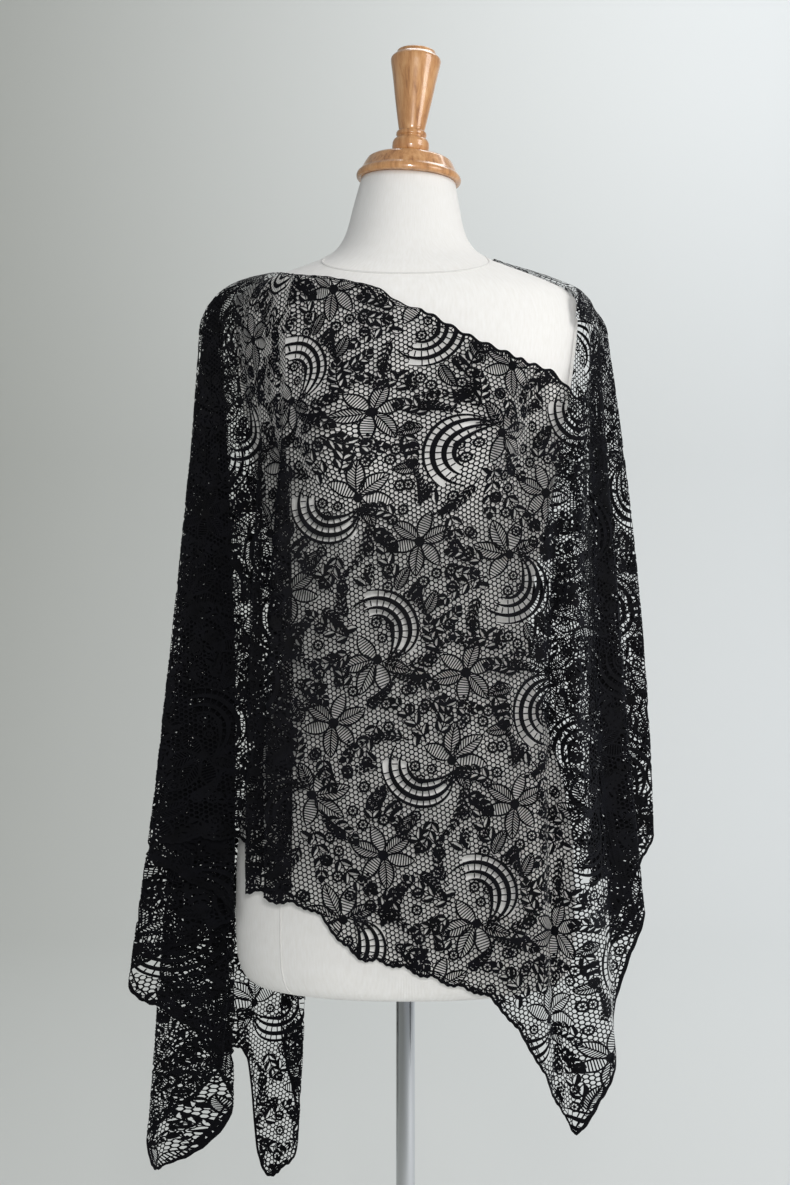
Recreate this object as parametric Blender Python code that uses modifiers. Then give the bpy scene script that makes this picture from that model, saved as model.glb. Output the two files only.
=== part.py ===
"""A lace shawl worn off one shoulder, on a linen covered dress form that stands on a round base.

Metres, +Z up, the origin on the floor at the middle of the base. -Y is the front, and left and right
are the viewer's. Sizes below are in millimetres and are turned into metres where shapes are made.

The shawl is one long rectangle of lace whose short end is sewn to its neck edge, so it hangs as a
slanted tube. Its surface is worked out from strands: lines that run down the cloth from the neckline
to the hem, one on each ridge and in each valley of a fold and a few across the flat panels.
"""

import math

import bmesh
import bpy
import numpy as np
from mathutils import Matrix, Vector

MM = 0.001

# The stand and the form
BASE_DIAMETER = 320
BASE_THICKNESS = 10
POLE_DIAMETER = 19
COLLAR_DIAMETER = 34
COLLAR_HEIGHT = 46
FORM_BOTTOM = 660
FORM_TOP = 1457
FORM_SIDES = 44
SECTION_POWER = 2.2
BUST = dict(out=20, apart=68, wide=44, height=1188, tall=58)
ARMHOLE = dict(x=162, height=1273, lean=7.0, plate_tall=98, plate_deep=56, plate_thick=3)
CAP_LEAN = 3.5
NECK_LEAN_FROM = 1395
NECK_SHIFT = 3.0
TOUCH = 0.3
CAP_HEIGHT = 23
ARMHOLE_BLOCK = 200

# Turned profiles, each a table of radius and height, from the top down its outer side.
CAP_PROFILE = [
    (0, CAP_HEIGHT), (38, CAP_HEIGHT), (41, 22), (49, 9), (52, 5), (52, 2), (50.5, 0), (0, 0),
]
FINIAL_PROFILE = [
    (0, 109), (14, 109), (19, 107.5), (19.5, 104), (24, 101), (25, 98), (22.5, 92), (17, 76), (13.5, 55),
    (12, 38), (11.5, 28), (15, 26), (15, 22), (12.5, 20), (17, 17), (18.5, 13), (17, 8), (13, 5), (14, 0),
    (0, 0),
]

# One row for each level of the form: height, half width, depth to the front, depth to the back.
FORM_LEVELS = np.array([
    (660, 142, 84, 80),
    (663, 153, 93, 88),
    (672, 162, 99, 95),
    (690, 167.5, 103, 100),
    (720, 169, 104, 106),
    (780, 168, 104, 112),
    (840, 160, 101, 108),
    (900, 145, 96, 94),
    (960, 127, 87, 74),
    (1000, 122, 83, 68),
    (1030, 124, 84, 70),
    (1090, 134, 89, 80),
    (1150, 147, 94, 90),
    (1200, 157, 92, 94),
    (1240, 166, 84, 92),
    (1280, 174, 75, 87),
    (1310, 176, 68, 82),
    (1332, 173, 64, 77),
    (1346, 163, 62, 73),
    (1356, 142, 60, 70),
    (1366, 115, 59, 66),
    (1376, 87, 57, 62),
    (1388, 69, 55, 58),
    (1406, 59, 52, 54),
    (1431, 53, 48, 50),
    (1457, 47, 45, 47),
])

# The cloth
CLOTH = 1.2
CLEAR_OF_FORM = 5.0
SOFTNESS = 0.02
SEAM_GAP = 0.3
STEPS_BETWEEN_STRANDS = 3
ROWS_DOWN = 13
ROWS_CROWD_THE_TOP = 1.45
NORMAL_STEP = 0.02
NORMAL_REACH = 0.004
KNEE_DROP = 0.16
KNEE_POINTS = 60

# Each strand passes through these three heights, and its row gives its place at each.
SHOULDER, WAIST, LOW = 1300, 1000, 650

# One row for each strand, clockwise from above, from the front panel's right edge: name, the neckline's
# point (x, y, height), then x and y at the shoulder, at the waist and low down, and the hem's height.
STRANDS = [
    ("front_1", 140, -62, 1260, 141, -58, 128, -98, 130, -112, 593),
    ("front_2", 100, -68, 1273, 100, -62, 86, -112, 86, -116, 664),
    ("front_3", 58, -72, 1292, 58, -70, 43, -116, 43, -118, 684),
    ("front_4", 15, -70, 1318, 15, -74, 0, -118, 0, -118, 700),
    ("front_5", -28, -64, 1340, -28, -74, -42, -117, -43, -117, 711),
    ("front_6", -68, -58, 1350, -70, -70, -84, -113, -86, -114, 752),
    ("pleat_1_ridge", -100, -50, 1354, -109, -62, -127, -109, -130, -111, 764),
    ("pleat_1_valley", -109, -46, 1356, -116, -55, -106, -96, -106, -98, 768),
    ("pleat_2_ridge", -118, -40, 1358, -133, -49, -148, -88, -151, -91, 766),
    ("pleat_2_valley", -123, -35, 1359, -140, -44, -136, -75, -135, -78, 790),
    ("left_edge", -128, -30, 1360, -160, -43, -162, -68, -164, -74, 813),
    ("left_1_ridge", -132, -24, 1361, -198, -40, -226, -60, -262, -72, 797),
    ("left_2_valley", -135, -16, 1361, -183, -26, -168, -38, -171, -44, 735),
    ("left_3_ridge", -137, -8, 1361, -205, -12, -231, -14, -279, -16, 664),
    ("left_4_valley", -138, 0, 1361, -185, 0, -171, 6, -177, 6, 581),
    ("left_5_ridge", -138, 8, 1361, -203, 14, -226, 27, -252, 36, 488),
    ("tail_1_tip", -137, 14, 1360, -193, 22, -202, 37, -228, 50, 449),
    ("tail_1_edge", -135, 20, 1360, -185, 30, -177, 48, -177, 60, 507),
    ("tail_1_back", -132, 27, 1359, -197, 39, -198, 64, -203, 80, 560),
    ("tail_2_start", -126, 34, 1357, -181, 50, -170, 76, -166, 88, 555),
    ("tail_2_edge", -118, 41, 1355, -166, 58, -154, 85, -151, 95, 449),
    ("tail_2_tip", -110, 48, 1353, -150, 65, -137, 91, -134, 101, 430),
    ("tail_2_ridge", -100, 54, 1350, -130, 71, -109, 95, -105, 103, 468),
    ("tail_2_back", -88, 61, 1348, -116, 82, -128, 116, -134, 127, 590),
    ("back_1", -62, 68, 1345, -86, 88, -86, 121, -88, 130, 628),
    ("back_2", -26, 75, 1343, -40, 92, -41, 121, -41, 130, 655),
    ("back_3", 12, 76, 1347, 10, 94, 8, 121, 8, 129, 680),
    ("back_4", 46, 70, 1357, 56, 91, 56, 118, 57, 127, 705),
    ("back_5", 74, 42, 1372, 99, 84, 101, 110, 103, 119, 725),
    ("back_6", 85, 4, 1381, 138, 68, 141, 92, 145, 99, 742),
    ("right_8_turn", 101, -9, 1373, 166, 50, 181, 73, 189, 81, 756),
    ("right_7_ridge", 120, -15, 1364, 187, 35, 219, 58, 233, 66, 770),
    ("right_6_valley", 137, -20, 1353, 188, 20, 187, 36, 192, 42, 745),
    ("right_5_ridge", 150, -26, 1342, 203, 4, 240, 12, 254, 14, 804),
    ("right_4_valley", 159, -31, 1331, 189, -12, 193, -10, 201, -11, 700),
    ("right_3_ridge", 171, -36, 1312, 190, -29, 209, -34, 246, -40, 740),
    ("right_2_valley", 176, -41, 1290, 178, -40, 185, -50, 203, -57, 655),
    ("right_1_side", 178, -46, 1260, 178, -44, 176, -78, 190, -86, 596),
    ("right_1_ridge", 175, -50, 1233, 173, -49, 158, -99, 157, -107, 541),
    ("right_edge", 158, -56, 1247, 158, -54, 138, -87, 139, -97, 566),
]

# The four stretches of the tube, each from one strand to another.
STRETCHES = {
    "shawl_front": ("front_1", "left_edge"),
    "shawl_left_drape": ("left_edge", "back_1"),
    "shawl_back": ("back_1", "back_6"),
    "shawl_right_drape": ("back_6", "front_1"),
}

# The lace repeats in a half drop along the cloth's length, which slopes down to the right in front. Each
# repeat holds one fan of crescents, whose outer ladder has the widest gaps, and these are cut through.
GRAIN_SLOPE = 24.0
REPEAT = 184
FAN_TURNS = (20.0, 160.0, 100.0, -70.0)
LADDER_RADIUS = 27
LADDER_PITCH = 5.9
FAN_GAPS = 3
GAP_ALONG = 4.8
GAP_ACROSS = 4.7
PLAIN_EDGE = 34
PLAIN_SEAM = 9
FLAT_REACH = 8
LEAST_SPREAD = 0.88
PATTERN_BREAK = "right_6_valley"
PATTERN_STEP = 0.05
FANS_EACH_WAY = 14

COLOURS = {
    "lace": ((0.012, 0.012, 0.016), 0.75, 0.0),
    "linen": ((0.83, 0.80, 0.74), 0.9, 0.0),
    "wood": ((0.62, 0.31, 0.10), 0.3, 0.0),
    "chrome": ((0.75, 0.76, 0.78), 0.12, 1.0),
    "steel": ((0.55, 0.56, 0.57), 0.35, 1.0),
}


def clear_scene():
    for each in list(bpy.data.objects):
        bpy.data.objects.remove(each, do_unlink=True)


def new_collection(name):
    made = bpy.data.collections.new(name)
    bpy.context.scene.collection.children.link(made)
    return made


def material(name):
    """The Principled material of that name, made once."""
    if name in bpy.data.materials:
        return bpy.data.materials[name]
    colour, roughness, metallic = COLOURS[name]
    made = bpy.data.materials.new(name)
    made.use_nodes = True
    surface = made.node_tree.nodes["Principled BSDF"]
    surface.inputs["Base Color"].default_value = (*colour, 1)
    surface.inputs["Roughness"].default_value = roughness
    surface.inputs["Metallic"].default_value = metallic
    return made


def place(name, mesh, collection, finish):
    made = bpy.data.objects.new(name, mesh)
    made.data.materials.append(material(finish))
    collection.objects.link(made)
    return made


def smooth_rows(at, levels):
    """Columns 1.. of the rows read at other heights: cubic Hermite pieces with slopes that don't overshoot."""
    x, y = levels[:, 0], levels[:, 1:]
    rise = np.diff(y, axis=0) / np.diff(x)[:, None]
    same = rise[1:] * rise[:-1] > 0
    with np.errstate(divide="ignore", invalid="ignore"):
        inner = np.where(same, 2 * rise[1:] * rise[:-1] / (rise[1:] + rise[:-1]), 0)
    slope = np.vstack([rise[:1], inner, rise[-1:]])
    at = np.clip(np.asarray(at, float), x[0], x[-1])
    i = np.clip(np.searchsorted(x, at, side="right") - 1, 0, len(x) - 2)
    step = (x[i + 1] - x[i])[..., None]
    t = (at - x[i])[..., None] / step
    return (
        (1 + 2 * t) * (1 - t) ** 2 * y[i]
        + t * (1 - t) ** 2 * step * slope[i]
        + t * t * (3 - 2 * t) * y[i + 1]
        + t * t * (t - 1) * step * slope[i + 1]
    )


def bust_out(x, z):
    """How far the bust stands out in front of a plain section: two soft mounds."""
    return BUST["out"] * np.exp(
        -(((np.abs(x) - BUST["apart"]) / BUST["wide"]) ** 2) - ((z - BUST["height"]) / BUST["tall"]) ** 2
    )


def form_point(angle, z):
    """The form's skin: |x/half width|^p + |y/depth|^p = 1, with the bust moved out in front."""
    half, front, back = np.moveaxis(smooth_rows(z, FORM_LEVELS), -1, 0)
    c, s = np.cos(angle), np.sin(angle)
    x = half * np.sign(c) * np.abs(c) ** (2 / SECTION_POWER)
    y = np.where(s > 0, back, front) * np.sign(s) * np.abs(s) ** (2 / SECTION_POWER)
    y = y - np.where(s < 0, bust_out(x, z) * np.abs(s), 0)
    neck = np.clip((z - NECK_LEAN_FROM) / (FORM_TOP - NECK_LEAN_FROM), 0, 1) ** 2
    return np.stack([x + NECK_SHIFT * neck, y, z - x * math.tan(math.radians(CAP_LEAN)) * neck], axis=-1)


def pushed_clear(points):
    """Points inside the form or just outside it, moved out to clear it: r = soft maximum of r and 1 + clearance."""
    x, y, z = np.moveaxis(points, -1, 0)
    half, front, back = np.moveaxis(smooth_rows(z, FORM_LEVELS), -1, 0)
    depth = np.where(y > 0, back, front)
    bust = np.where(y < 0, bust_out(x, z) * np.clip(-y / depth, 0, 1), 0)
    across, along = x / half, (y + bust) / depth
    r = (np.abs(across) ** SECTION_POWER + np.abs(along) ** SECTION_POWER) ** (1 / SECTION_POWER)
    least = 1 + CLEAR_OF_FORM / depth
    wanted = (r + least + np.sqrt((r - least) ** 2 + SOFTNESS**2)) / 2
    grow = np.where(z < FORM_TOP, wanted / np.maximum(r, 1e-6), 1)
    return np.stack([x * grow, (y + bust) * grow - bust, z], axis=-1)


def between(p0, p1, p2, p3, u):
    """The centripetal Catmull-Rom curve from p1 to p2, which turns round a fold with no loop."""
    gap = [np.sqrt(np.linalg.norm(b - a, axis=1))[:, None] + 1e-9 for a, b in ((p0, p1), (p1, p2), (p2, p3))]
    leave = (p2 - p1) + gap[1] * ((p1 - p0) / gap[0] - (p2 - p0) / (gap[0] + gap[1]))
    arrive = (p2 - p1) + gap[1] * ((p3 - p2) / gap[2] - (p3 - p1) / (gap[1] + gap[2]))
    return (
        (2 * (p1 - p2) + leave + arrive) * u**3 + (3 * (p2 - p1) - 2 * leave - arrive) * u**2 + leave * u + p1
    )


class Drape:
    """The cloth's middle surface, read at (s, v): s counts strands, and v is the way down a strand from the
    shoulder's height, less than 0 above it."""

    TOP, BOTTOM, STEP = -186.0, 900.0, 6.0

    def __init__(self):
        self.names = [row[0] for row in STRANDS]
        numbers = np.array([row[1:] for row in STRANDS], float)
        self.neck = numbers[:, :3]
        self.stations = numbers[:, 3:9].reshape(-1, 3, 2)
        self.hem = numbers[:, 9]
        self.down = np.arange(self.TOP, self.BOTTOM + self.STEP, self.STEP)
        self.strands = np.stack([self.strand(i) for i in range(len(STRANDS))])
        self.v_neck, self.v_hem = self.ends()

    def hanging(self, i, z):
        """The strand below the shoulder: the parabola through its three stations."""
        a, b, c = SHOULDER, WAIST, LOW
        weights = np.stack([
            (z - b) * (z - c) / ((a - b) * (a - c)),
            (z - a) * (z - c) / ((b - a) * (b - c)),
            (z - a) * (z - b) / ((c - a) * (c - b)),
        ], axis=-1)
        return np.column_stack([weights @ self.stations[i], z])

    def strand(self, i):
        """Points down one strand: a Bezier curve from the neckline over the shoulder, then the hanging part."""
        below = self.hanging(i, SHOULDER - self.down[self.down >= 0])
        top = below[0]
        above = -self.down[self.down < 0]
        if self.neck[i, 2] <= SHOULDER:
            return np.vstack([top + above[:, None] * np.array([0, 0, 1]), below])
        reach = math.hypot(*(self.neck[i, :2] - top[:2]))
        knee = np.array([top[0], top[1], self.neck[i, 2] - KNEE_DROP * reach])
        t = np.linspace(0, 1, KNEE_POINTS)[:, None]
        curve = (1 - t) ** 2 * top + 2 * t * (1 - t) * knee + t * t * self.neck[i]
        run = np.concatenate([[0], np.cumsum(np.linalg.norm(np.diff(curve, axis=0), axis=1))])
        past = np.maximum(above - run[-1], 0)[:, None] * (curve[-1] - curve[-2]) / (run[-1] - run[-2])
        over = np.column_stack([np.interp(above, run, curve[:, k]) for k in range(3)]) + past
        return np.vstack([over, below])

    def ends(self):
        """v at the neckline and at the hem, strand by strand."""
        v_neck = []
        for i, neck in enumerate(self.neck):
            if neck[2] <= SHOULDER:
                v_neck.append(SHOULDER - neck[2])
                continue
            near = np.argmin(np.linalg.norm(self.strands[i] - neck, axis=1))
            v_neck.append(self.down[near])
        return np.array(v_neck), SHOULDER - self.hem

    def around(self, values, s):
        """Values given at each strand, read between them: a closed Catmull-Rom curve."""
        count = len(values)
        i = np.floor(s).astype(int)
        t = (s - i).reshape(-1, *[1] * (values.ndim - 1))
        p0, p1, p2, p3 = (values[(i + k) % count] for k in (-1, 0, 1, 2))
        return 0.5 * (
            2 * p1 + (p2 - p0) * t + (2 * p0 - 5 * p1 + 4 * p2 - p3) * t**2 + (3 * p1 - p0 - 3 * p2 + p3) * t**3
        )

    def at(self, s, v):
        """The surface's points at arrays s and v of one shape."""
        shape = s.shape
        s, v = s.ravel(), v.ravel()
        place_down = np.clip((v - self.TOP) / self.STEP, 0, len(self.down) - 1.001)
        row = place_down.astype(int)
        t = (place_down - row)[:, None]
        count = len(self.strands)
        i = np.floor(s).astype(int)
        near = [
            self.strands[(i + k) % count, row] * (1 - t) + self.strands[(i + k) % count, row + 1] * t
            for k in (-1, 0, 1, 2)
        ]
        return pushed_clear(between(*near, (s - i)[:, None])).reshape(*shape, 3)

    def way_down(self, s, t):
        """v at share t of the way from the neckline to the hem."""
        top, bottom = (self.around(ends, s.ravel()).reshape(s.shape) for ends in (self.v_neck, self.v_hem))
        return top + (bottom - top) * t

    def point(self, s, t):
        return self.at(s, self.way_down(s, t))

    def normal(self, s, t):
        """The unit normal, outwards: the cross product of the surface's slopes across and down."""
        across = self.point(s + NORMAL_STEP, t) - self.point(s - NORMAL_STEP, t)
        lower, upper = np.clip(t + NORMAL_REACH, 0, 1), np.clip(t - NORMAL_REACH, 0, 1)
        normal = np.cross(across, self.point(s, lower) - self.point(s, upper))
        return normal / np.linalg.norm(normal, axis=-1)[..., None]

    def lay_flat(self):
        """The cloth's length around, measured at the waist from the front's middle: more to the right. It is the
        pattern's own flat length, so the pattern keeps its size there. The pattern starts and ends in one valley."""
        end = self.names.index(PATTERN_BREAK)
        s = np.linspace(end - len(self.names), end, round(len(self.names) / PATTERN_STEP) + 1)
        ring = self.at(s, np.full(len(s), float(SHOULDER - WAIST)))
        run = np.concatenate([[0], np.cumsum(np.linalg.norm(np.diff(ring, axis=0), axis=1))])
        middle = np.interp(self.names.index("front_4"), s, run)
        return s, middle - run

    def span(self, first, last):
        """s from one named strand to another, the way round that the table runs."""
        start, end = self.names.index(first), self.names.index(last)
        return start, end if end > start else end + len(self.names)


def wall_mesh(name, outer, inner):
    """A closed wall between two grids of points, rows by columns: both faces and the four edges."""
    rows, columns = outer.shape[:2]
    front = np.arange(rows * columns).reshape(rows, columns)
    back = front + rows * columns
    rim = np.concatenate([front[0, :-1], front[:-1, -1], front[-1, :0:-1], front[:0:-1, 0]])
    rim_back = rim + rows * columns

    def quads(a, b, c, d):
        return np.stack([a, b, c, d], axis=-1).reshape(-1, 4)

    faces = np.concatenate([
        quads(front[:-1, :-1], front[:-1, 1:], front[1:, 1:], front[1:, :-1]),
        quads(back[:-1, :-1], back[1:, :-1], back[1:, 1:], back[:-1, 1:]),
        quads(rim, rim_back, np.roll(rim_back, -1), np.roll(rim, -1)),
    ])
    points = np.concatenate([outer.reshape(-1, 3), inner.reshape(-1, 3)]) * MM
    mesh = bpy.data.meshes.new(name)
    mesh.from_pydata(points.tolist(), [], faces.tolist())
    mesh.shade_smooth()
    return mesh


def shawl_stretch(drape, name, first, last, collection, cutters):
    """One stretch of the tube. Neighbours share the normals at their seam, so their edges lie face to face."""
    start, end = drape.span(first, last)
    s, t = np.meshgrid(
        np.linspace(start, end, (end - start) * STEPS_BETWEEN_STRANDS + 1),
        np.linspace(0, 1, ROWS_DOWN + 1) ** ROWS_CROWD_THE_TOP,
    )
    middle, normal = drape.point(s, t), drape.normal(s, t)
    for edge, inner in ((0, 1), (-1, -2)):
        along = middle[:, inner] - middle[:, edge]
        along -= (along * normal[:, edge]).sum(axis=1)[:, None] * normal[:, edge]
        middle[:, edge] += along / np.linalg.norm(along, axis=1)[:, None] * SEAM_GAP / 2
    mesh = wall_mesh(name, middle + normal * CLOTH / 2, middle - normal * CLOTH / 2)
    made = place(name, mesh, collection, "lace")
    cut(made, gap_cutter(drape, f"{name} gaps", first, last, cutters))
    return made


def fan_gaps():
    """(flat length, way down, turn) of each gap: the middle of every fan's outer ladder, fan by fan."""
    slope = math.radians(GRAIN_SLOPE)
    each_way = range(-FANS_EACH_WAY, FANS_EACH_WAY + 1)
    for row in each_way:
        for column in each_way:
            along = (column + (row % 2) / 2) * REPEAT
            across = row * REPEAT / 2
            turn = math.radians(FAN_TURNS[(row + 2 * column) % len(FAN_TURNS)])
            for k in range(FAN_GAPS):
                angle = turn + (k - (FAN_GAPS - 1) / 2) * LADDER_PITCH / LADDER_RADIUS
                g = along + LADDER_RADIUS * math.cos(angle)
                h = across + LADDER_RADIUS * math.sin(angle)
                yield (
                    g * math.cos(slope) - h * math.sin(slope),
                    g * math.sin(slope) + h * math.cos(slope),
                    angle + slope,
                )


def gap_cutter(drape, name, first, last, collection):
    """One mesh of small blocks, each square to the cloth, for the gaps that fall well inside this stretch."""
    start, end = drape.span(first, last)
    s_of, length = drape.lay_flat()
    shape = bmesh.new()
    once = [seam - len(drape.names) * (seam > s_of[-1]) for seam in (start, end)]
    plain = np.array([*np.interp(once, s_of, length), length[0], length[-1]])
    for flat, down, turn in fan_gaps():
        beside = np.interp([flat, flat - FLAT_REACH, flat + FLAT_REACH], length[::-1], s_of[::-1])
        beside += len(drape.names) * (beside[0] < start)
        s = beside[:1]
        top, bottom = drape.way_down(s, np.zeros(1))[0], drape.way_down(s, np.ones(1))[0]
        room = min(down - top, bottom - down)
        if not start < s[0] < end or room < PLAIN_EDGE or np.abs(flat - plain).min() < PLAIN_SEAM:
            continue
        ends = drape.at(beside[1:], np.full(2, float(down)))
        if np.linalg.norm(ends[1] - ends[0]) < LEAST_SPREAD * 2 * FLAT_REACH:
            continue
        share = np.array([(down - top) / (bottom - top)])
        middle, normal = drape.point(s, share), drape.normal(s, share)
        out = Vector(normal[0])
        level = Vector((0, 0, 1)).cross(out).normalized()
        upright = out.cross(level)
        ray = (level * math.cos(turn) - upright * math.sin(turn)).normalized()
        frame = Matrix((ray, out.cross(ray), out)).transposed().to_4x4()
        size = Matrix.Diagonal((GAP_ACROSS * MM, GAP_ALONG * MM, 4 * CLOTH * MM, 1))
        place_at = Matrix.Translation(Vector(middle[0]) * MM)
        bmesh.ops.create_cube(shape, size=1, matrix=place_at @ frame @ size)
    mesh = bpy.data.meshes.new(name)
    shape.to_mesh(mesh)
    shape.free()
    made = bpy.data.objects.new(name, mesh)
    made.hide_render = True
    made.display_type = "WIRE"
    collection.objects.link(made)
    return made


def cut(target, cutter):
    hole = target.modifiers.new(cutter.name, "BOOLEAN")
    hole.operation = "DIFFERENCE"
    hole.solver = "EXACT"
    hole.object = cutter


def form_torso(collection, cutters):
    """The torso and neck: a loft through the levels, cut flat at the two armholes, with a plate on each."""
    angles = np.linspace(0, 2 * math.pi, FORM_SIDES, endpoint=False)
    z = FORM_LEVELS[:, :1]
    points = form_point(angles + 0 * z, z + 0 * angles)
    rows, columns = points.shape[:2]
    index = np.arange(rows * columns).reshape(rows, columns)
    beside = np.roll(index, -1, axis=1)
    faces = np.stack([index[:-1], beside[:-1], beside[1:], index[1:]], axis=-1).reshape(-1, 4).tolist()
    faces += [index[0, ::-1].tolist(), index[-1].tolist()]
    mesh = bpy.data.meshes.new("form_torso")
    mesh.from_pydata((points.reshape(-1, 3) * MM).tolist(), [], faces)
    mesh.shade_smooth()
    made = place("form_torso", mesh, collection, "linen")
    for side, word in ((-1, "left"), (1, "right")):
        middle = Vector((side * ARMHOLE["x"], 0, ARMHOLE["height"])) * MM
        lean = Matrix.Rotation(side * math.radians(ARMHOLE["lean"]), 4, "Y")
        frame = Matrix.Translation(middle) @ lean
        armhole_cutter(f"armhole {word} cutter", side, frame, made, cutters)
        armhole_plate(f"form_armhole_{word}", side, frame, collection)


def armhole_cutter(name, side, frame, torso, collection):
    block = ARMHOLE_BLOCK * MM
    shape = bmesh.new()
    bmesh.ops.create_cube(shape, size=block, matrix=frame @ Matrix.Translation((side * block / 2, 0, 0)))
    mesh = bpy.data.meshes.new(name)
    shape.to_mesh(mesh)
    shape.free()
    made = bpy.data.objects.new(name, mesh)
    made.hide_render = True
    made.display_type = "WIRE"
    collection.objects.link(made)
    cut(torso, made)


def armhole_plate(name, side, frame, collection):
    """An oval plate on the flat end of the shoulder."""
    thick = ARMHOLE["plate_thick"] * MM
    out = side * (TOUCH * MM + thick / 2)
    size = Matrix.Diagonal((ARMHOLE["plate_tall"] * MM, ARMHOLE["plate_deep"] * MM, 1, 1))
    lay = Matrix.Translation((out, 0, 0)) @ Matrix.Rotation(math.pi / 2, 4, "Y") @ size
    shape = bmesh.new()
    bmesh.ops.create_cone(
        shape, cap_ends=True, segments=32, radius1=0.5, radius2=0.5, depth=thick, matrix=frame @ lay
    )
    mesh = bpy.data.meshes.new(name)
    shape.to_mesh(mesh)
    shape.free()
    return place(name, mesh, collection, "linen")


def turned(name, profile, sides, collection, finish, place_at=(0, 0, 0), lean=0.0):
    """A turned piece from rows of (radius, height), top to bottom down its outer side, leaning to the right."""
    mesh = bpy.data.meshes.new(name)
    points = [(radius * MM, 0, height * MM) for radius, height in profile]
    mesh.from_pydata(points, [(i, i + 1) for i in range(len(points) - 1)], [])
    made = place(name, mesh, collection, finish)
    turn = made.modifiers.new("turned", "SCREW")
    turn.steps = turn.render_steps = sides
    turn.use_merge_vertices = True
    turn.merge_threshold = 0.00001
    made.location = Vector(place_at) * MM
    made.rotation_euler = (0, math.radians(lean), 0)
    return made


def wooden_top(collection):
    """The cap disc on the neck and the turned finial on it, on one leaning axis."""
    axis = Vector((math.sin(math.radians(CAP_LEAN)), 0, math.cos(math.radians(CAP_LEAN))))
    start = Vector((NECK_SHIFT, 0, FORM_TOP)) + axis * TOUCH
    turned("form_neck_cap", CAP_PROFILE, 40, collection, "wood", start, CAP_LEAN)
    turned("form_finial", FINIAL_PROFILE, 28, collection, "wood", start + axis * (CAP_HEIGHT + TOUCH), CAP_LEAN)


def stand(collection):
    """Round base on the floor, chrome pole in its collar, up into the form's underside."""
    half = BASE_DIAMETER / 2
    base = [
        (0, BASE_THICKNESS), (half - 3, BASE_THICKNESS), (half, BASE_THICKNESS - 3),
        (half, 1), (half - 1, 0), (0, 0),
    ]
    turned("form_base", base, 64, collection, "steel")
    pole, low = POLE_DIAMETER / 2, BASE_THICKNESS + TOUCH
    top = FORM_BOTTOM - TOUCH
    turned("form_pole", [(0, top), (pole, top), (pole, low), (0, low)], 24, collection, "chrome")
    ring, bore = COLLAR_DIAMETER / 2, pole + TOUCH
    high = low + COLLAR_HEIGHT
    collar = [(bore, high), (ring - 2, high), (ring, high - 2), (ring, low), (bore, low), (bore, high)]
    turned("form_collar", collar, 28, collection, "chrome")


def main():
    clear_scene()
    parts = new_collection("lace shawl on a dress form")
    cutters = new_collection("cutters")
    drape = Drape()
    form_torso(parts, cutters)
    wooden_top(parts)
    stand(parts)
    for name, (first, last) in STRETCHES.items():
        shawl_stretch(drape, name, first, last, parts, cutters)


main()
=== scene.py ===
"""The looks of a lace shawl on its dress form: lace with real openings, linen, turned wood and chrome.

Sizes are in millimetres in the pattern and drape maths, and in metres in every mesh. -Y is the front.
"""

import math

import bpy
import numpy as np
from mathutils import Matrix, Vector


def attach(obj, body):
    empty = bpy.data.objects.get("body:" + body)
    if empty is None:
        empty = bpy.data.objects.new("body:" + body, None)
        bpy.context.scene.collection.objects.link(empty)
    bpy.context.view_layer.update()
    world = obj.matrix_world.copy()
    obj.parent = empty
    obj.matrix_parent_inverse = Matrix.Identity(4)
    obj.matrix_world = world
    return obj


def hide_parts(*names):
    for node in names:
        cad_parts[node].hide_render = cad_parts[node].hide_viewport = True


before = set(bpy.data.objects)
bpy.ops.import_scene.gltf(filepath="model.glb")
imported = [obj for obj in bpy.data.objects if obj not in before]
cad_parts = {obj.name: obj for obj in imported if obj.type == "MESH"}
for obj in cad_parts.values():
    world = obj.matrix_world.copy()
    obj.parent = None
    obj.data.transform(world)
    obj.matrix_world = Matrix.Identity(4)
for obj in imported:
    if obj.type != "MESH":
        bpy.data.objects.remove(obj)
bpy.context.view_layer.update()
MM = 0.001

# The camera stands level with the form's middle, and one pixel of the photograph is 1 mm at y = 0.
PHOTO_HIGH = 1185
CAMERA_AT = (-0.0105, -1.55, 1.047)

# The form, as its source has it: height, half width, depth to the front, depth to the back.
FORM_LEVELS = np.array([
    (660, 142, 84, 80), (663, 153, 93, 88), (672, 162, 99, 95), (690, 167.5, 103, 100), (720, 169, 104, 106),
    (780, 168, 104, 112), (840, 160, 101, 108), (900, 145, 96, 94), (960, 127, 87, 74), (1000, 122, 83, 68),
    (1030, 124, 84, 70), (1090, 134, 89, 80), (1150, 147, 94, 90), (1200, 157, 92, 94), (1240, 166, 84, 92),
    (1280, 174, 75, 87), (1310, 176, 68, 82), (1332, 173, 64, 77), (1346, 163, 62, 73), (1356, 142, 60, 70),
    (1366, 115, 59, 66), (1376, 87, 57, 62), (1388, 69, 55, 58), (1406, 59, 52, 54), (1431, 53, 48, 50),
    (1457, 47, 45, 47),
])
SECTION_POWER = 2.2
BUST = dict(out=20, apart=68, wide=44, height=1188, tall=58)
FORM_TOP, CAP_LEAN, NECK_LEAN_FROM, NECK_SHIFT = 1457, 3.5, 1395, 3.0
ARMHOLE = dict(x=162, height=1273, lean=7.0, low=1173)

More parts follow.
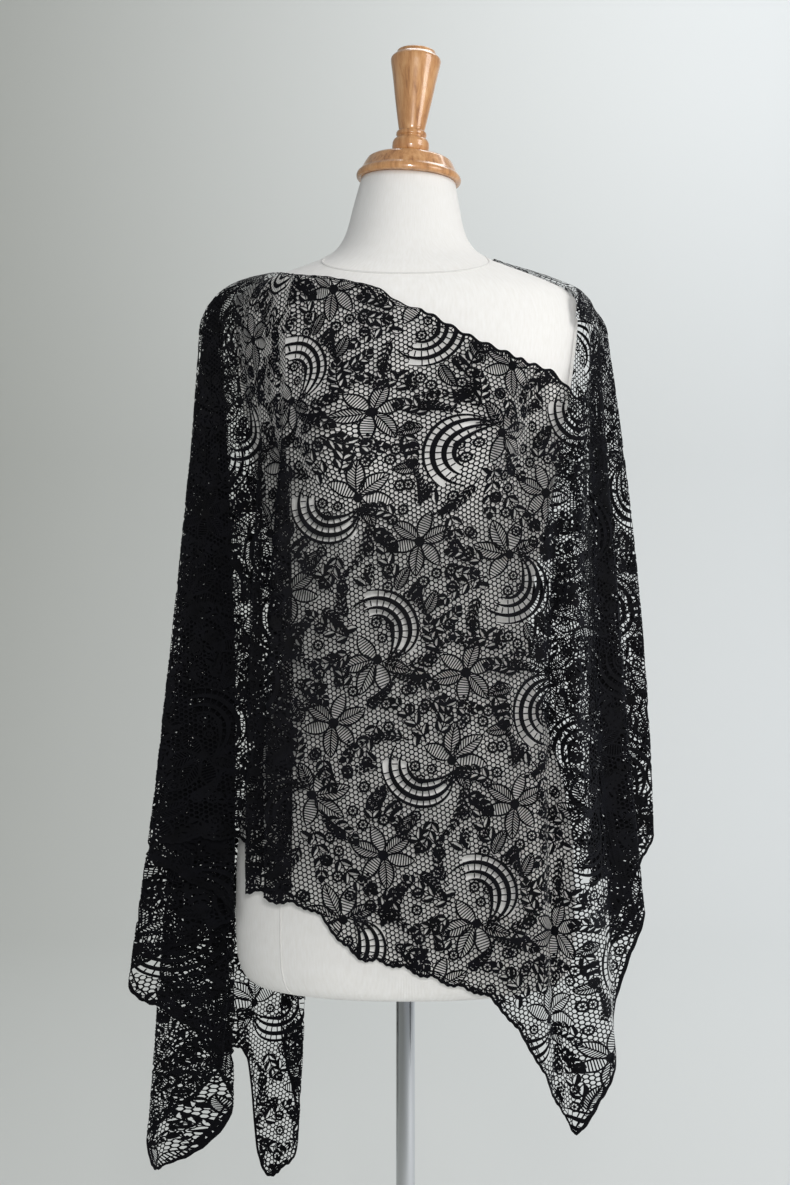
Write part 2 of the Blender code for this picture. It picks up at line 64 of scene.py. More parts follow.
# The cloth's strands, as its source has them: the neckline's point, x and y at the shoulder, at the waist and
# low down, and the hem's height. They run clockwise from above, from the front panel's right edge.
STRANDS = np.array([
    (140, -62, 1260, 141, -58, 128, -98, 130, -112, 593),
    (100, -68, 1273, 100, -62, 86, -112, 86, -116, 664), (58, -72, 1292, 58, -70, 43, -116, 43, -118, 684),
    (15, -70, 1318, 15, -74, 0, -118, 0, -118, 700), (-28, -64, 1340, -28, -74, -42, -117, -43, -117, 711),
    (-68, -58, 1350, -70, -70, -84, -113, -86, -114, 752),
    (-100, -50, 1354, -109, -62, -127, -109, -130, -111, 764),
    (-109, -46, 1356, -116, -55, -106, -96, -106, -98, 768),
    (-118, -40, 1358, -133, -49, -148, -88, -151, -91, 766),
    (-123, -35, 1359, -140, -44, -136, -75, -135, -78, 790),
    (-128, -30, 1360, -160, -43, -162, -68, -164, -74, 813),
    (-132, -24, 1361, -198, -40, -226, -60, -262, -72, 797),
    (-135, -16, 1361, -183, -26, -168, -38, -171, -44, 735),
    (-137, -8, 1361, -205, -12, -231, -14, -279, -16, 664), (-138, 0, 1361, -185, 0, -171, 6, -177, 6, 581),
    (-138, 8, 1361, -203, 14, -226, 27, -252, 36, 488), (-137, 14, 1360, -193, 22, -202, 37, -228, 50, 449),
    (-135, 20, 1360, -185, 30, -177, 48, -177, 60, 507),
    (-132, 27, 1359, -197, 39, -198, 64, -203, 80, 560),
    (-126, 34, 1357, -181, 50, -170, 76, -166, 88, 555),
    (-118, 41, 1355, -166, 58, -154, 85, -151, 95, 449),
    (-110, 48, 1353, -150, 65, -137, 91, -134, 101, 430),
    (-100, 54, 1350, -130, 71, -109, 95, -105, 103, 468),
    (-88, 61, 1348, -116, 82, -128, 116, -134, 127, 590), (-62, 68, 1345, -86, 88, -86, 121, -88, 130, 628),
    (-26, 75, 1343, -40, 92, -41, 121, -41, 130, 655), (12, 76, 1347, 10, 94, 8, 121, 8, 129, 680),
    (46, 70, 1357, 56, 91, 56, 118, 57, 127, 705), (74, 42, 1372, 99, 84, 101, 110, 103, 119, 725),
    (85, 4, 1381, 138, 68, 141, 92, 145, 99, 742), (101, -9, 1373, 166, 50, 181, 73, 189, 81, 756),
    (120, -15, 1364, 187, 35, 219, 58, 233, 66, 770), (137, -20, 1353, 188, 20, 187, 36, 192, 42, 745),
    (150, -26, 1342, 203, 4, 240, 12, 254, 14, 804), (159, -31, 1331, 189, -12, 193, -10, 201, -11, 700),
    (171, -36, 1312, 190, -29, 209, -34, 246, -40, 740),
    (176, -41, 1290, 178, -40, 185, -50, 203, -57, 655),
    (178, -46, 1260, 178, -44, 176, -78, 190, -86, 596),
    (175, -50, 1233, 173, -49, 158, -99, 157, -107, 541),
    (158, -56, 1247, 158, -54, 138, -87, 139, -97, 566),
], float)
# The heights of a strand's three stations.
SHOULDER, WAIST, LOW = 1300, 1000, 650
# The strand at the front's middle, and the one where the pattern starts again.
FRONT_MIDDLE, PATTERN_BREAK = 3, 32
# How far the cloth stays off the form, and how softly it is pushed out.
CLEAR_OF_FORM, SOFTNESS = 5.0, 0.02
# The lace's pieces: the first and the last strand of each. The left drape has two, as its motifs are many.
STRETCHES = dict(
    lace_front=(0, 10), lace_left_drape=(10, 16), lace_left_tail=(16, 24), lace_back=(24, 29),
    lace_right_drape=(29, 40),
)
SOLID_OF = dict(
    lace_front="shawl_front", lace_left_drape="shawl_left_drape", lace_left_tail="shawl_left_drape",
    lace_back="shawl_back", lace_right_drape="shawl_right_drape",
)


def smooth_rows(at, levels):
    """Columns 1.. of the rows at other heights: cubic Hermite pieces whose slopes never overshoot."""
    x, y = levels[:, 0], levels[:, 1:]
    rise = np.diff(y, axis=0) / np.diff(x)[:, None]
    same = rise[1:] * rise[:-1] > 0
    with np.errstate(divide="ignore", invalid="ignore"):
        inner = np.where(same, 2 * rise[1:] * rise[:-1] / (rise[1:] + rise[:-1]), 0)
    slope = np.vstack([rise[:1], inner, rise[-1:]])
    at = np.clip(np.asarray(at, float), x[0], x[-1])
    i = np.clip(np.searchsorted(x, at, side="right") - 1, 0, len(x) - 2)
    step = (x[i + 1] - x[i])[..., None]
    t = (at - x[i])[..., None] / step
    return (
        (1 + 2 * t) * (1 - t) ** 2 * y[i]
        + t * (1 - t) ** 2 * step * slope[i]
        + t * t * (3 - 2 * t) * y[i + 1]
        + t * t * (t - 1) * step * slope[i + 1]
    )


def bust_out(x, z):
    """How far the bust stands out in front: two soft mounds, exp(-(x/wide)^2 - (z/tall)^2) each."""
    return BUST["out"] * np.exp(
        -(((np.abs(x) - BUST["apart"]) / BUST["wide"]) ** 2) - ((z - BUST["height"]) / BUST["tall"]) ** 2
    )


def form_point(angle, z):
    """The form's skin: |x/half width|^p + |y/depth|^p = 1, the bust moved out, the neck leaning, and each
    shoulder's end flat on the armhole's slanting plane."""
    half, front, back = np.moveaxis(smooth_rows(z, FORM_LEVELS), -1, 0)
    c, s = np.cos(angle), np.sin(angle)
    x = half * np.sign(c) * np.abs(c) ** (2 / SECTION_POWER)
    y = np.where(s > 0, back, front) * np.sign(s) * np.abs(s) ** (2 / SECTION_POWER)
    y = y - np.where(s < 0, bust_out(x, z) * np.abs(s), 0)
    limit = ARMHOLE["x"] + (z - ARMHOLE["height"]) * math.tan(math.radians(ARMHOLE["lean"]))
    x = np.where((z > ARMHOLE["low"]) & (np.abs(x) > limit), np.sign(x) * limit, x)
    neck = np.clip((z - NECK_LEAN_FROM) / (FORM_TOP - NECK_LEAN_FROM), 0, 1) ** 2
    return np.stack([x + NECK_SHIFT * neck, y, z - x * math.tan(math.radians(CAP_LEAN)) * neck], axis=-1)


def pushed_clear(points):
    """Points in or just off the form moved out: r becomes the soft maximum of r and 1 + clear / depth."""
    x, y, z = np.moveaxis(points, -1, 0)
    half, front, back = np.moveaxis(smooth_rows(z, FORM_LEVELS), -1, 0)
    depth = np.where(y > 0, back, front)
    bust = np.where(y < 0, bust_out(x, z) * np.clip(-y / depth, 0, 1), 0)
    across, along = x / half, (y + bust) / depth
    r = (np.abs(across) ** SECTION_POWER + np.abs(along) ** SECTION_POWER) ** (1 / SECTION_POWER)
    least = 1 + CLEAR_OF_FORM / depth
    wanted = (r + least + np.sqrt((r - least) ** 2 + SOFTNESS**2)) / 2
    grow = np.where(z < FORM_TOP, wanted / np.maximum(r, 1e-6), 1)
    return np.stack([x * grow, (y + bust) * grow - bust, z], axis=-1)


def between(p0, p1, p2, p3, u):
    """The centripetal Catmull-Rom curve from p1 to p2, which turns round a fold with no loop."""
    gap = [np.sqrt(np.linalg.norm(b - a, axis=1))[:, None] + 1e-9 for a, b in ((p0, p1), (p1, p2), (p2, p3))]
    leave = (p2 - p1) + gap[1] * ((p1 - p0) / gap[0] - (p2 - p0) / (gap[0] + gap[1]))
    arrive = (p2 - p1) + gap[1] * ((p3 - p2) / gap[2] - (p3 - p1) / (gap[1] + gap[2]))
    return (
        (2 * (p1 - p2) + leave + arrive) * u**3 + (3 * (p2 - p1) - 2 * leave - arrive) * u**2 + leave * u + p1
    )


def around(values, s):
    """Values given at each strand, read between them: a closed Catmull-Rom curve."""
    i = np.floor(s).astype(int)
    t = s - i
    p0, p1, p2, p3 = (values[(i + k) % len(values)] for k in (-1, 0, 1, 2))
    return 0.5 * (
        2 * p1 + (p2 - p0) * t + (2 * p0 - 5 * p1 + 4 * p2 - p3) * t**2 + (3 * p1 - p0 - 3 * p2 + p3) * t**3
    )


def normals_of(points):
    """The unit normals outwards of a table of points: the cross product of its slopes down and across."""
    normal = np.cross(np.gradient(points, axis=0), np.gradient(points, axis=1))
    return normal / (np.linalg.norm(normal, axis=-1)[..., None] + 1e-9)


class Drape:
    """The cloth's middle surface at (s, v): s counts strands, v is the way down from the shoulder."""

    TOP, BOTTOM, STEP = -186.0, 900.0, 6.0
    KNEE_DROP, KNEE_POINTS = 0.16, 60

    def __init__(self):
        """Works out each strand, and how far down the neckline and the hem are on it."""
        self.neck, self.hem = STRANDS[:, :3], STRANDS[:, 9]
        self.stations = STRANDS[:, 3:9].reshape(-1, 3, 2)
        self.down = np.arange(self.TOP, self.BOTTOM + self.STEP, self.STEP)
        self.strands = np.stack([self.strand(i) for i in range(len(STRANDS))])
        near = [np.argmin(np.linalg.norm(line - neck, axis=1)) for line, neck in zip(self.strands, self.neck)]
        over = self.neck[:, 2] > SHOULDER
        self.v_neck = np.where(over, self.down[near], SHOULDER - self.neck[:, 2])
        self.v_hem = SHOULDER - self.hem

    def strand(self, i):
        """One strand: a Bezier curve from the neck over the shoulder, then a parabola through 3 stations."""
        a, b, c = SHOULDER, WAIST, LOW
        z = SHOULDER - self.down[self.down >= 0]
        weights = np.stack([
            (z - b) * (z - c) / ((a - b) * (a - c)),
            (z - a) * (z - c) / ((b - a) * (b - c)),
            (z - a) * (z - b) / ((c - a) * (c - b)),
        ], axis=-1)
        below = np.column_stack([weights @ self.stations[i], z])
        top = below[0]
        above = -self.down[self.down < 0]
        if self.neck[i, 2] <= SHOULDER:
            return np.vstack([top + above[:, None] * np.array([0, 0, 1]), below])
        reach = math.hypot(*(self.neck[i, :2] - top[:2]))
        knee = np.array([top[0], top[1], self.neck[i, 2] - self.KNEE_DROP * reach])
        t = np.linspace(0, 1, self.KNEE_POINTS)[:, None]
        curve = (1 - t) ** 2 * top + 2 * t * (1 - t) * knee + t * t * self.neck[i]
        run = np.concatenate([[0], np.cumsum(np.linalg.norm(np.diff(curve, axis=0), axis=1))])
        past = np.maximum(above - run[-1], 0)[:, None] * (curve[-1] - curve[-2]) / (run[-1] - run[-2])
        over = np.column_stack([np.interp(above, run, curve[:, k]) for k in range(3)]) + past
        return np.vstack([over, below])

    def at(self, s, v):
        """The surface's points at flat arrays s and v."""
        place_down = np.clip((v - self.TOP) / self.STEP, 0, len(self.down) - 1.001)
        row = place_down.astype(int)
        t = (place_down - row)[:, None]
        i = np.floor(s).astype(int)
        near = [
            self.strands[(i + k) % len(STRANDS), row] * (1 - t)
            + self.strands[(i + k) % len(STRANDS), row + 1] * t
            for k in (-1, 0, 1, 2)
        ]
        return pushed_clear(between(*near, (s - i)[:, None]))

    def lay_flat(self):
        """(s, flat length): the way round at the waist, from the front's middle, more to the right."""
        s = np.linspace(PATTERN_BREAK - len(STRANDS), PATTERN_BREAK, 801)
        ring = self.at(s, np.full(len(s), float(SHOULDER - WAIST)))
        run = np.concatenate([[0], np.cumsum(np.linalg.norm(np.diff(ring, axis=0), axis=1))])
        return s, np.interp(FRONT_MIDDLE, s, run) - run


# Soft creases: flat length and way down at the middle, half length, half width, depth (+ is a
# ridge), and how far the crease leans to the right from its top to its bottom.
CREASES = [
    (-128, 250, 170, 9, 2.6, -10), (-104, 420, 130, 7, -2.0, 6), (-60, 380, 150, 12, 1.6, 16),
    (-20, 520, 120, 10, -1.5, -12), (40, 430, 160, 13, 1.8, 8), (92, 330, 190, 9, 2.4, 10),
    (112, 500, 140, 7, -2.2, 6), (70, 210, 90, 10, -1.4, 22), (-86, 130, 80, 9, 1.8, -26),
    (-30, 60, 60, 11, -1.4, -30), (20, 610, 70, 9, 2.0, 5), (-185, 480, 160, 10, 2.4, -8),
    (-235, 300, 200, 8, -2.6, -6), (-290, 520, 150, 11, 2.8, 9), (-350, 260, 180, 8, 2.4, 12),
    (-420, 560, 170, 10, -2.6, -10), (-480, 330, 200, 9, 2.6, 10), (-540, 600, 120, 8, 2.6, -6),
    (-610, 420, 160, 9, -2.4, 8), (-690, 250, 170, 11, 2.2, -12), (-760, 430, 150, 12, -2.0, 14),
    (-830, 300, 140, 11, 2.2, -10), (170, 360, 200, 8, 2.6, 8), (214, 520, 130, 7, -2.4, -6),
    (262, 300, 190, 9, 2.8, 7), (318, 420, 170, 8, -2.6, -8), (372, 280, 190, 9, 2.6, 8),
    (430, 460, 120, 9, 2.2, -6),
]
# The free hem waves, from so far below the shoulder, and in full so much further down.
HEM_FLUTTER = dict(rise=90.0, depth=4.2, starts=180, grows=200)


class Cloth:
    """The draped lace as a table of points over its flat pattern: columns of length, rows of way down."""

    ACROSS, DOWN = 1.5, 3.0

    def __init__(self, drape):
        """Reads the drape on a fine table of the flat pattern, and adds the creases."""
        self.s_of, self.flat_of = drape.lay_flat()
        self.low, self.high = self.flat_of[-1], self.flat_of[0]
        self.columns = np.linspace(self.low, self.high, round((self.high - self.low) / self.ACROSS))
        self.rows = np.arange(drape.TOP, drape.BOTTOM, self.DOWN)
        s = self.strand_at(self.columns)
        self.neck_of = around(drape.v_neck, s)
        self.hem_of = around(drape.v_hem, s)
        wide_s, wide_v = (x.ravel() for x in np.meshgrid(s, self.rows))
        points = drape.at(wide_s, wide_v).reshape(len(self.rows), len(s), 3)
        self.points = points + normals_of(points) * self.creases()[..., None]
        self.facing = normals_of(self.points)

    def strand_at(self, flat):
        """The strand's number at a flat length."""
        return np.interp(flat, self.flat_of[::-1], self.s_of[::-1])

    def flat_at(self, s):
        """The flat length at a strand's number, which starts again at the pattern's break."""
        return np.interp(s if s <= self.s_of[-1] else s - len(STRANDS), self.s_of, self.flat_of)

    def creases(self):
        """How far each point of the table moves out. A crease is a soft ridge or trough, depth *
        exp(-(x/width)^2) * exp(-(y/length)^2), and near the hem the free edge flutters in uneven
        waves."""
        flat, down = self.columns[None, :], self.rows[:, None]
        out = np.zeros((len(self.rows), len(self.columns)))
        for middle, height, reach, width, depth, lean in CREASES:
            u = (down - height) / reach
            line = middle + lean * u + 0.25 * width * np.sin(2.6 * u)
            out += depth * np.exp(-(((flat - line) / width) ** 2) - u**2)
        near_hem = np.exp(-np.maximum(self.hem_of - down, 0) / HEM_FLUTTER["rise"])
        wave = np.sin(flat / 13.7 + 1.3 * np.sin(flat / 61)) + 0.5 * np.sin(flat / 7.9 + 2)
        away = np.clip((down - HEM_FLUTTER["starts"]) / HEM_FLUTTER["grows"], 0, 1)
        return out + HEM_FLUTTER["depth"] * near_hem * wave * away / 1.5

    def laid(self, pattern, lift):
        """Flat pattern points (flat length, way down) put on the cloth, lifted off it by so much: the
        table read between its rows and columns, p = the mean of four neighbours weighted by nearness."""
        x = np.clip((pattern[:, 0] - self.low) / (self.high - self.low), 0, 1) * (len(self.columns) - 1)
        y = np.clip((pattern[:, 1] - self.rows[0]) / self.DOWN, 0, len(self.rows) - 1.001)
        i, j = np.minimum(x.astype(int), len(self.columns) - 2), y.astype(int)
        u, w = (x - i)[:, None], (y - j)[:, None]

        def read(table):
            """One table at all the points."""
            upper = table[j, i] * (1 - u) + table[j, i + 1] * u
            return upper * (1 - w) + (table[j + 1, i] * (1 - u) + table[j + 1, i + 1] * u) * w

        return (read(self.points) + read(self.facing) * np.broadcast_to(lift, len(x))[:, None]) * MM


def mesh_of(name, points, faces, finish):
    """A mesh object at the origin from arrays of points in metres and of triangles or quads."""
    mesh = bpy.data.meshes.new(name)
    sides = faces.shape[1]
    mesh.vertices.add(len(points))
    mesh.vertices.foreach_set("co", np.ascontiguousarray(points, np.float32).ravel())
    mesh.loops.add(faces.size)
    mesh.loops.foreach_set("vertex_index", faces.astype(np.int32).ravel())
    mesh.polygons.add(len(faces))
    mesh.polygons.foreach_set("loop_start", np.arange(0, faces.size, sides, dtype=np.int32))
    mesh.polygons.foreach_set("use_smooth", np.ones(len(faces), bool))
    mesh.update(calc_edges=True)
    made = bpy.data.objects.new(name, mesh)
    bpy.context.scene.collection.objects.link(made)
    mesh.materials.append(finish)
    return made


def give_uv(piece, uv):
    """Writes a UV map from one (u, v) for each vertex."""
    mesh = piece.data
    corner = np.empty(len(mesh.loops), np.int32)
    mesh.loops.foreach_get("vertex_index", corner)
    layer = mesh.uv_layers.new(name="pattern")
    layer.data.foreach_set("uv", uv[corner].astype(np.float32).ravel())


# ---- the lace pattern, flat, in mm: one repeat holds four fans, each turned its own way ----
FAN_TURNS = (20.0, 160.0, 100.0, -70.0)
REPEAT = 184.0
GRAIN_SLOPE = math.radians(24.0)
LADDER_PITCH, LADDER_RADIUS = 5.9, 27.0
NET_PITCH, THREAD = 4.5, 1.2


def rays(angle):
    """Unit directions at angles in radians: (cos, sin)."""
    return np.stack([np.cos(angle), np.sin(angle)], axis=-1)


def sideways(along):
    """The unit directions to the left of these: (-y, x) / length."""
    return np.stack([-along[:, 1], along[:, 0]], axis=1) / np.linalg.norm(along, axis=1)[:, None]


def joined(shapes):
    """Many flat shapes as one: all their points, and their triangles numbered on from those before."""
    starts = np.cumsum([0] + [len(points) for points, _ in shapes[:-1]])
    points = np.concatenate([points for points, _ in shapes])
    return points, np.concatenate([faces + start for (_, faces), start in zip(shapes, starts)])


def ribbon(path, width, closed=False):
    """A flat band along a path: each point moved half the width either way, across the path."""
    path = np.asarray(path, float)
    count = len(path)
    width = np.broadcast_to(np.asarray(width, float), (count,))
    along = np.roll(path, -1, axis=0) - np.roll(path, 1, axis=0) if closed else np.gradient(path, axis=0)
    across = np.stack([-along[:, 1], along[:, 0]], axis=1)
    across /= np.linalg.norm(across, axis=1)[:, None] + 1e-9
    points = np.concatenate([path + across * width[:, None] / 2, path - across * width[:, None] / 2])
    a = np.arange(count if closed else count - 1)
    b = (a + 1) % count
    faces = np.concatenate([np.stack([a, a + count, b + count], axis=1), np.stack([a, b + count, b], axis=1)])
    return points, faces


def bars(starts, ends, width):
    """Straight thin bands, one from each start to its end."""
    starts, ends = np.asarray(starts, float), np.asarray(ends, float)
    along = ends - starts
    across = np.stack([-along[:, 1], along[:, 0]], axis=1)
    across *= width / 2 / (np.linalg.norm(across, axis=1)[:, None] + 1e-9)
    points = np.stack([starts + across, starts - across, ends - across, ends + across], axis=1).reshape(-1, 2)
    first = np.arange(len(starts))[:, None] * 4
    return points, np.concatenate([first + [0, 1, 2], first + [0, 2, 3]])


def disc(centre, radius, sides=8):
    """A round dot: a fan of triangles."""
    turn = np.arange(sides) * 2 * np.pi / sides
    points = np.asarray(centre, float) + rays(turn) * radius
    inner = np.arange(1, sides - 1)
    return points, np.stack([0 * inner, inner, inner + 1], axis=1)


def bow(start, turn, length, bend, steps):
    """A bowed line: it leaves start along turn and has turned by bend, in degrees, at its end."""
    u = np.linspace(0, 1, steps + 1)
    step = rays(np.radians(turn + bend * u)) * length / steps
    return np.asarray(start, float) + np.concatenate([[[0, 0]], np.cumsum((step[1:] + step[:-1]) / 2, axis=0)])


def swell(u, power=0.8):
    """0 at both ends and 1 in the middle: sin(pi u) to a power."""
    return np.sin(np.pi * np.clip(u, 0, 1)) ** power


def solid_leaf(start, turn, length, width, bend, steps=4):
    """A filled leaf: a band along a bowed line, whose width swells and closes again."""
    path = bow(start, turn, length, bend, steps)
    u = np.linspace(0, 1, steps + 1)
    wide = width * swell(u**0.8) + 0.35
    return [ribbon(path, wide)], np.column_stack([path, wide / 2 - 0.7])


def open_leaf(start, turn, length, width, bend, rim=1.9, steps=8):
    """An open leaf: its middle line and edges, the edges as bands, and where the net stays out."""
    path = bow(start, turn, length, bend, steps)
    u = np.linspace(0, 1, steps + 1)
    wide = (width - rim) * swell(u**0.87, 0.72)
    across = sideways(np.gradient(path, axis=0))
    edges = [path + across * (side * wide / 2)[:, None] for side in (-1, 1)]
    shapes = [ribbon(edge, rim * (0.65 + 0.35 * swell(u))) for edge in edges]
    return u, path, edges, shapes, np.column_stack([path, wide / 2 + 0.2])


def read_line(at, u, line):
    """Points of a line, given at shares u of its length, read at other shares."""
    return np.column_stack([np.interp(at, u, line[:, k]) for k in (0, 1)])


def veined_leaf(start, turn, length, width, bend, veins=9, slant=0.16):
    """An open leaf with a rib and slanting veins."""
    u, path, edges, shapes, clear = open_leaf(start, turn, length, width, bend)
    shapes.append(ribbon(path, 1.3))
    at = np.linspace(0.10, 0.74, veins)
    shapes += [bars(read_line(at, u, path), read_line(at + slant, u, edge), 1.1) for edge in edges]
    return shapes, clear


def striped_leaf(start, turn, length, width, bend, stripes=9):
    """An open leaf with ladder bars straight across it."""
    u, _, edges, shapes, clear = open_leaf(start, turn, length, width, bend)
    at = np.linspace(0.16, 0.86, stripes)
    return [*shapes, bars(*(read_line(at, u, edge) for edge in edges), 1.1)], clear


def half_leaf(start, turn, length, width, bend, side, steps=5):
    """A leaf with one half filled and the other open inside a fine edge, either side of a bowed rib."""
    path = bow(start, turn, length, bend, steps)
    wide = width * swell(np.linspace(0, 1, steps + 1) ** 0.85)
    across = side * sideways(np.gradient(path, axis=0))
    points = np.concatenate([path - across * 0.45, path + across * (wide / 2 + 0.2)[:, None]])
    a = np.arange(steps)
    faces = np.concatenate([
        np.stack([a, a + steps + 1, a + steps + 2], axis=1), np.stack([a, a + steps + 2, a + 1], axis=1),
    ])
    edge = path - across * (wide / 2)[:, None]
    open_middle = np.column_stack([path - across * (wide * 0.27)[:, None], wide * 0.24])
    return [(points, faces), ribbon(edge, 0.95)], open_middle


def ring_flower(centre, radius=5.4, petals=7):
    """A little flower: a scalloped ring, a dark eye and a spoke for each petal between them."""
    turn = np.arange(2 * petals) * np.pi / petals
    centre = np.asarray(centre, float)
    ray = rays(turn)
    wave = 1 + 0.10 * np.cos(petals * turn)[:, None]
    ring = ribbon(centre + ray * radius * 0.80 * (0.5 + 0.5 * wave), radius * 0.42 * wave[:, 0], closed=True)
    spokes = bars(centre + ray[1::2] * radius * 0.28, centre + ray[1::2] * radius * 0.68, 0.8)
    return [ring, spokes, disc(centre, radius * 0.34, 6)], np.array([[*centre, radius * 0.86]])


def fern(start, turn, length, bend, pairs, leaflet, width=2.4, spread=48.0, tip=0.5, halved=False):
    """A spray: a bowed stem with pairs of leaflets, shorter to the tip, and one leaflet at its end."""
    path = bow(start, turn, length, bend, 10)
    whole = np.linspace(0, 1, len(path))
    shapes = [ribbon(path, np.linspace(1.5, 0.9, len(path)))]
    clear = [np.column_stack([path, np.full(len(path), 0.6)])]
    for share in np.linspace(0.14, 0.92, pairs):
        foot = read_line(share, whole, path)[0]
        size = leaflet * (1 - (1 - tip) * share) * (0.75 + 0.25 * swell(share * 1.3))
        for side in (-1, 1):
            leaf_turn = turn + bend * share + side * spread
            if halved:
                some, gone = half_leaf(foot, leaf_turn, size, width, -side * 22, side)
            else:
                some, gone = solid_leaf(foot, leaf_turn, size, width, -side * 22)
            shapes += some
            clear.append(gone)
    some, gone = solid_leaf(path[-1], turn + bend, leaflet * 0.6, width, 0)
    return shapes + some, np.concatenate([*clear, gone])


def berries(start, turn, length, bend, count, size=1.7):
    """A fine stem with round berries along one side on short stalks."""
    path = bow(start, turn, length, bend, 8)
    u = np.linspace(0.25, 1, count)
    foot = read_line(u, np.linspace(0, 1, len(path)), path)
    angle = np.radians(turn + bend * u + np.where(u > 0.95, 0, 60))
    head = foot + rays(angle) * 4.2
    shapes = [ribbon(path, 1.0), bars(foot, head, 0.9), *(disc(point, size, 6) for point in head)]
    return shapes, np.column_stack([head, np.full(len(head), size * 0.7)])


# One row for each crescent of a fan: radius, width, where it starts and ends in degrees.
CRESCENTS = [(15.4, 3.2, -112, 70), (22.7, 3.6, -112, 82), (31.5, 4.0, -112, 92), (39.0, 2.2, -104, 60)]
# The ladder inside each of the first three gaps: from and to radius, the radius of its pitch, last angle.
LADDERS = [(17.0, 21.0, 19.0, 62), (24.3, 29.7, LADDER_RADIUS, 74), (33.2, 38.2, 35.6, 52)]
# Where the net stays out of those gaps: radius, half width.
OPEN_GAPS = [(19.5, 3.6), (27.0, 4.6), (35.0, 4.4)]
FAN_ROOT, ROOT_TURN, LADDER_FROM, LADDER_BAR = 27.0, 70, -64, 1.15


def fan():
    """Nested crescents round the origin that open along +x, with ladders between them. They meet at a root:
    r = R + (root - R) (1 - rise)^2, as rise goes from 0 at the root to 1 a third of the way round."""
    shapes, clear = [], []
    for radius, width, low, high in CRESCENTS:
        angle = np.linspace(low, high, 27)
        rise = np.clip((angle - low) / ROOT_TURN, 0, 1)
        r = radius + (FAN_ROOT - radius) * (1 - rise) ** 2
        path = rays(np.radians(angle)) * r[:, None]
        shapes.append(ribbon(path, 0.7 + width * swell((angle - low) / (high - low), 0.9)))
    for inner, outer, ladder, high in LADDERS:
        angle = (np.arange(-20, 20) + 0.5) * math.degrees(LADDER_PITCH / ladder)
        ray = rays(np.radians(angle[(angle > LADDER_FROM) & (angle < high)]))
        shapes.append(bars(ray * inner, ray * outer, LADDER_BAR))
    ray = rays(np.radians(np.linspace(-70, 56, 22)))
    for radius, wide in OPEN_GAPS:
        clear.append(np.column_stack([ray * radius, np.full(len(ray), wide)]))
    return shapes, clear


# One row for each motif round a fan: kind, x, y, turn, length, width, bend
GROUP = [
    ("ring", 6, 6, 0, 5.2, 0, 0),
    ("ring", 0, -8, 0, 4.8, 0, 0),
    ("ring", 13, -5, 0, 4.4, 0, 0),
    ("striped", -17, -17, 96, 27, 15, -26),
    ("veined", -20, -16, 146, 32, 17, 14),
    ("veined", -21, -19, 192, 33, 17, 16),
    ("striped", -19, -22, 238, 30, 16, 14),
    ("veined", -15, -23, 286, 28, 14, 20),
    ("dot", -17, -19, 0, 4.6, 0, 0),
    ("cluster", -8, -30, 20, 0, 0, 0),
    ("fern", -10, 24, 84, 48, 11, -66),
    ("fern", -6, -40, -40, 58, 11, 58),
    ("twig", -18, 10, 122, 46, 12, -30),
    ("twig", -28, 4, 176, 34, 11, -40),
    ("twig", 36, -34, -30, 30, 11, 36),
    ("twig", 2, -48, 250, 26, 10, 40),
    ("leaf", -9, 15, 140, 14, 6.0, 26),
    ("veined", 42, -20, 4, 25, 13, 30),
    ("veined", 40, 14, 30, 25, 13, -28),
    ("leaf", 43, -4, -4, 18, 6.8, 24),
    ("leaf", 43, 1, 20, 17, 6.2, -14),
    ("leaf", 27, 34, 58, 17, 6.6, 24),
    ("leaf", 23, 37, 92, 15, 6.0, 24),
    ("cluster", 33, 44, 30, 0, 0, 0),
    ("ring", 63, 2, 0, 5.6, 0, 0),
    ("ring", 48, 34, 0, 5.4, 0, 0),
    ("ring", 6, 50, 0, 5.2, 0, 0),
    ("ring", -34, 40, 0, 5.6, 0, 0),
    ("ring", -46, 30, 0, 5.2, 0, 0),
    ("ring", 14, -54, 0, 5.6, 0, 0),
    ("ring", -18, -58, 0, 5.2, 0, 0),
    ("ring", -48, -44, 0, 5.6, 0, 0),
    ("ring", -56, -8, 0, 5.2, 0, 0),
]
# The same for the gap between four groups.
BETWEEN = [
    ("striped", 3, 0, 8, 26, 14, 18),
    ("veined", 1, 3, 66, 29, 16, -16),
    ("striped", -2, 3, 128, 26, 14, 18),
    ("veined", -3, 0, 188, 29, 16, -16),
    ("striped", -1, -3, 248, 26, 14, 18),
    ("veined", 2, -3, 308, 29, 16, -16),
    ("dot", 0, 0, 0, 5.0, 0, 0),
    ("twig", 33, -26, 76, 46, 12, 40),
    ("twig", -33, 26, 256, 46, 12, 40),
    ("twig", 10, 30, 60, 30, 11, -40),
    ("twig", -10, -30, 240, 30, 11, -40),
    ("fern", -14, 30, 130, 34, 10, -50),
    ("fern", 14, -30, -50, 34, 10, -50),
    ("cluster", 27, 10, 70, 0, 0, 0),
    ("cluster", -27, -10, 70, 0, 0, 0),
    ("ring", 2, 34, 0, 5.2, 0, 0),
    ("ring", -2, -34, 0, 5.2, 0, 0),
    ("ring", 44, -26, 0, 5.4, 0, 0),
    ("ring", -44, 26, 0, 5.4, 0, 0),
    ("ring", 30, -42, 0, 5.4, 0, 0),
    ("ring", -30, 42, 0, 5.4, 0, 0),
    ("ring", 46, 12, 0, 5.2, 0, 0),
    ("ring", -46, -12, 0, 5.2, 0, 0),
    ("ring", 37, 30, 0, 5.4, 0, 0),
    ("ring", -37, -30, 0, 5.4, 0, 0),
]


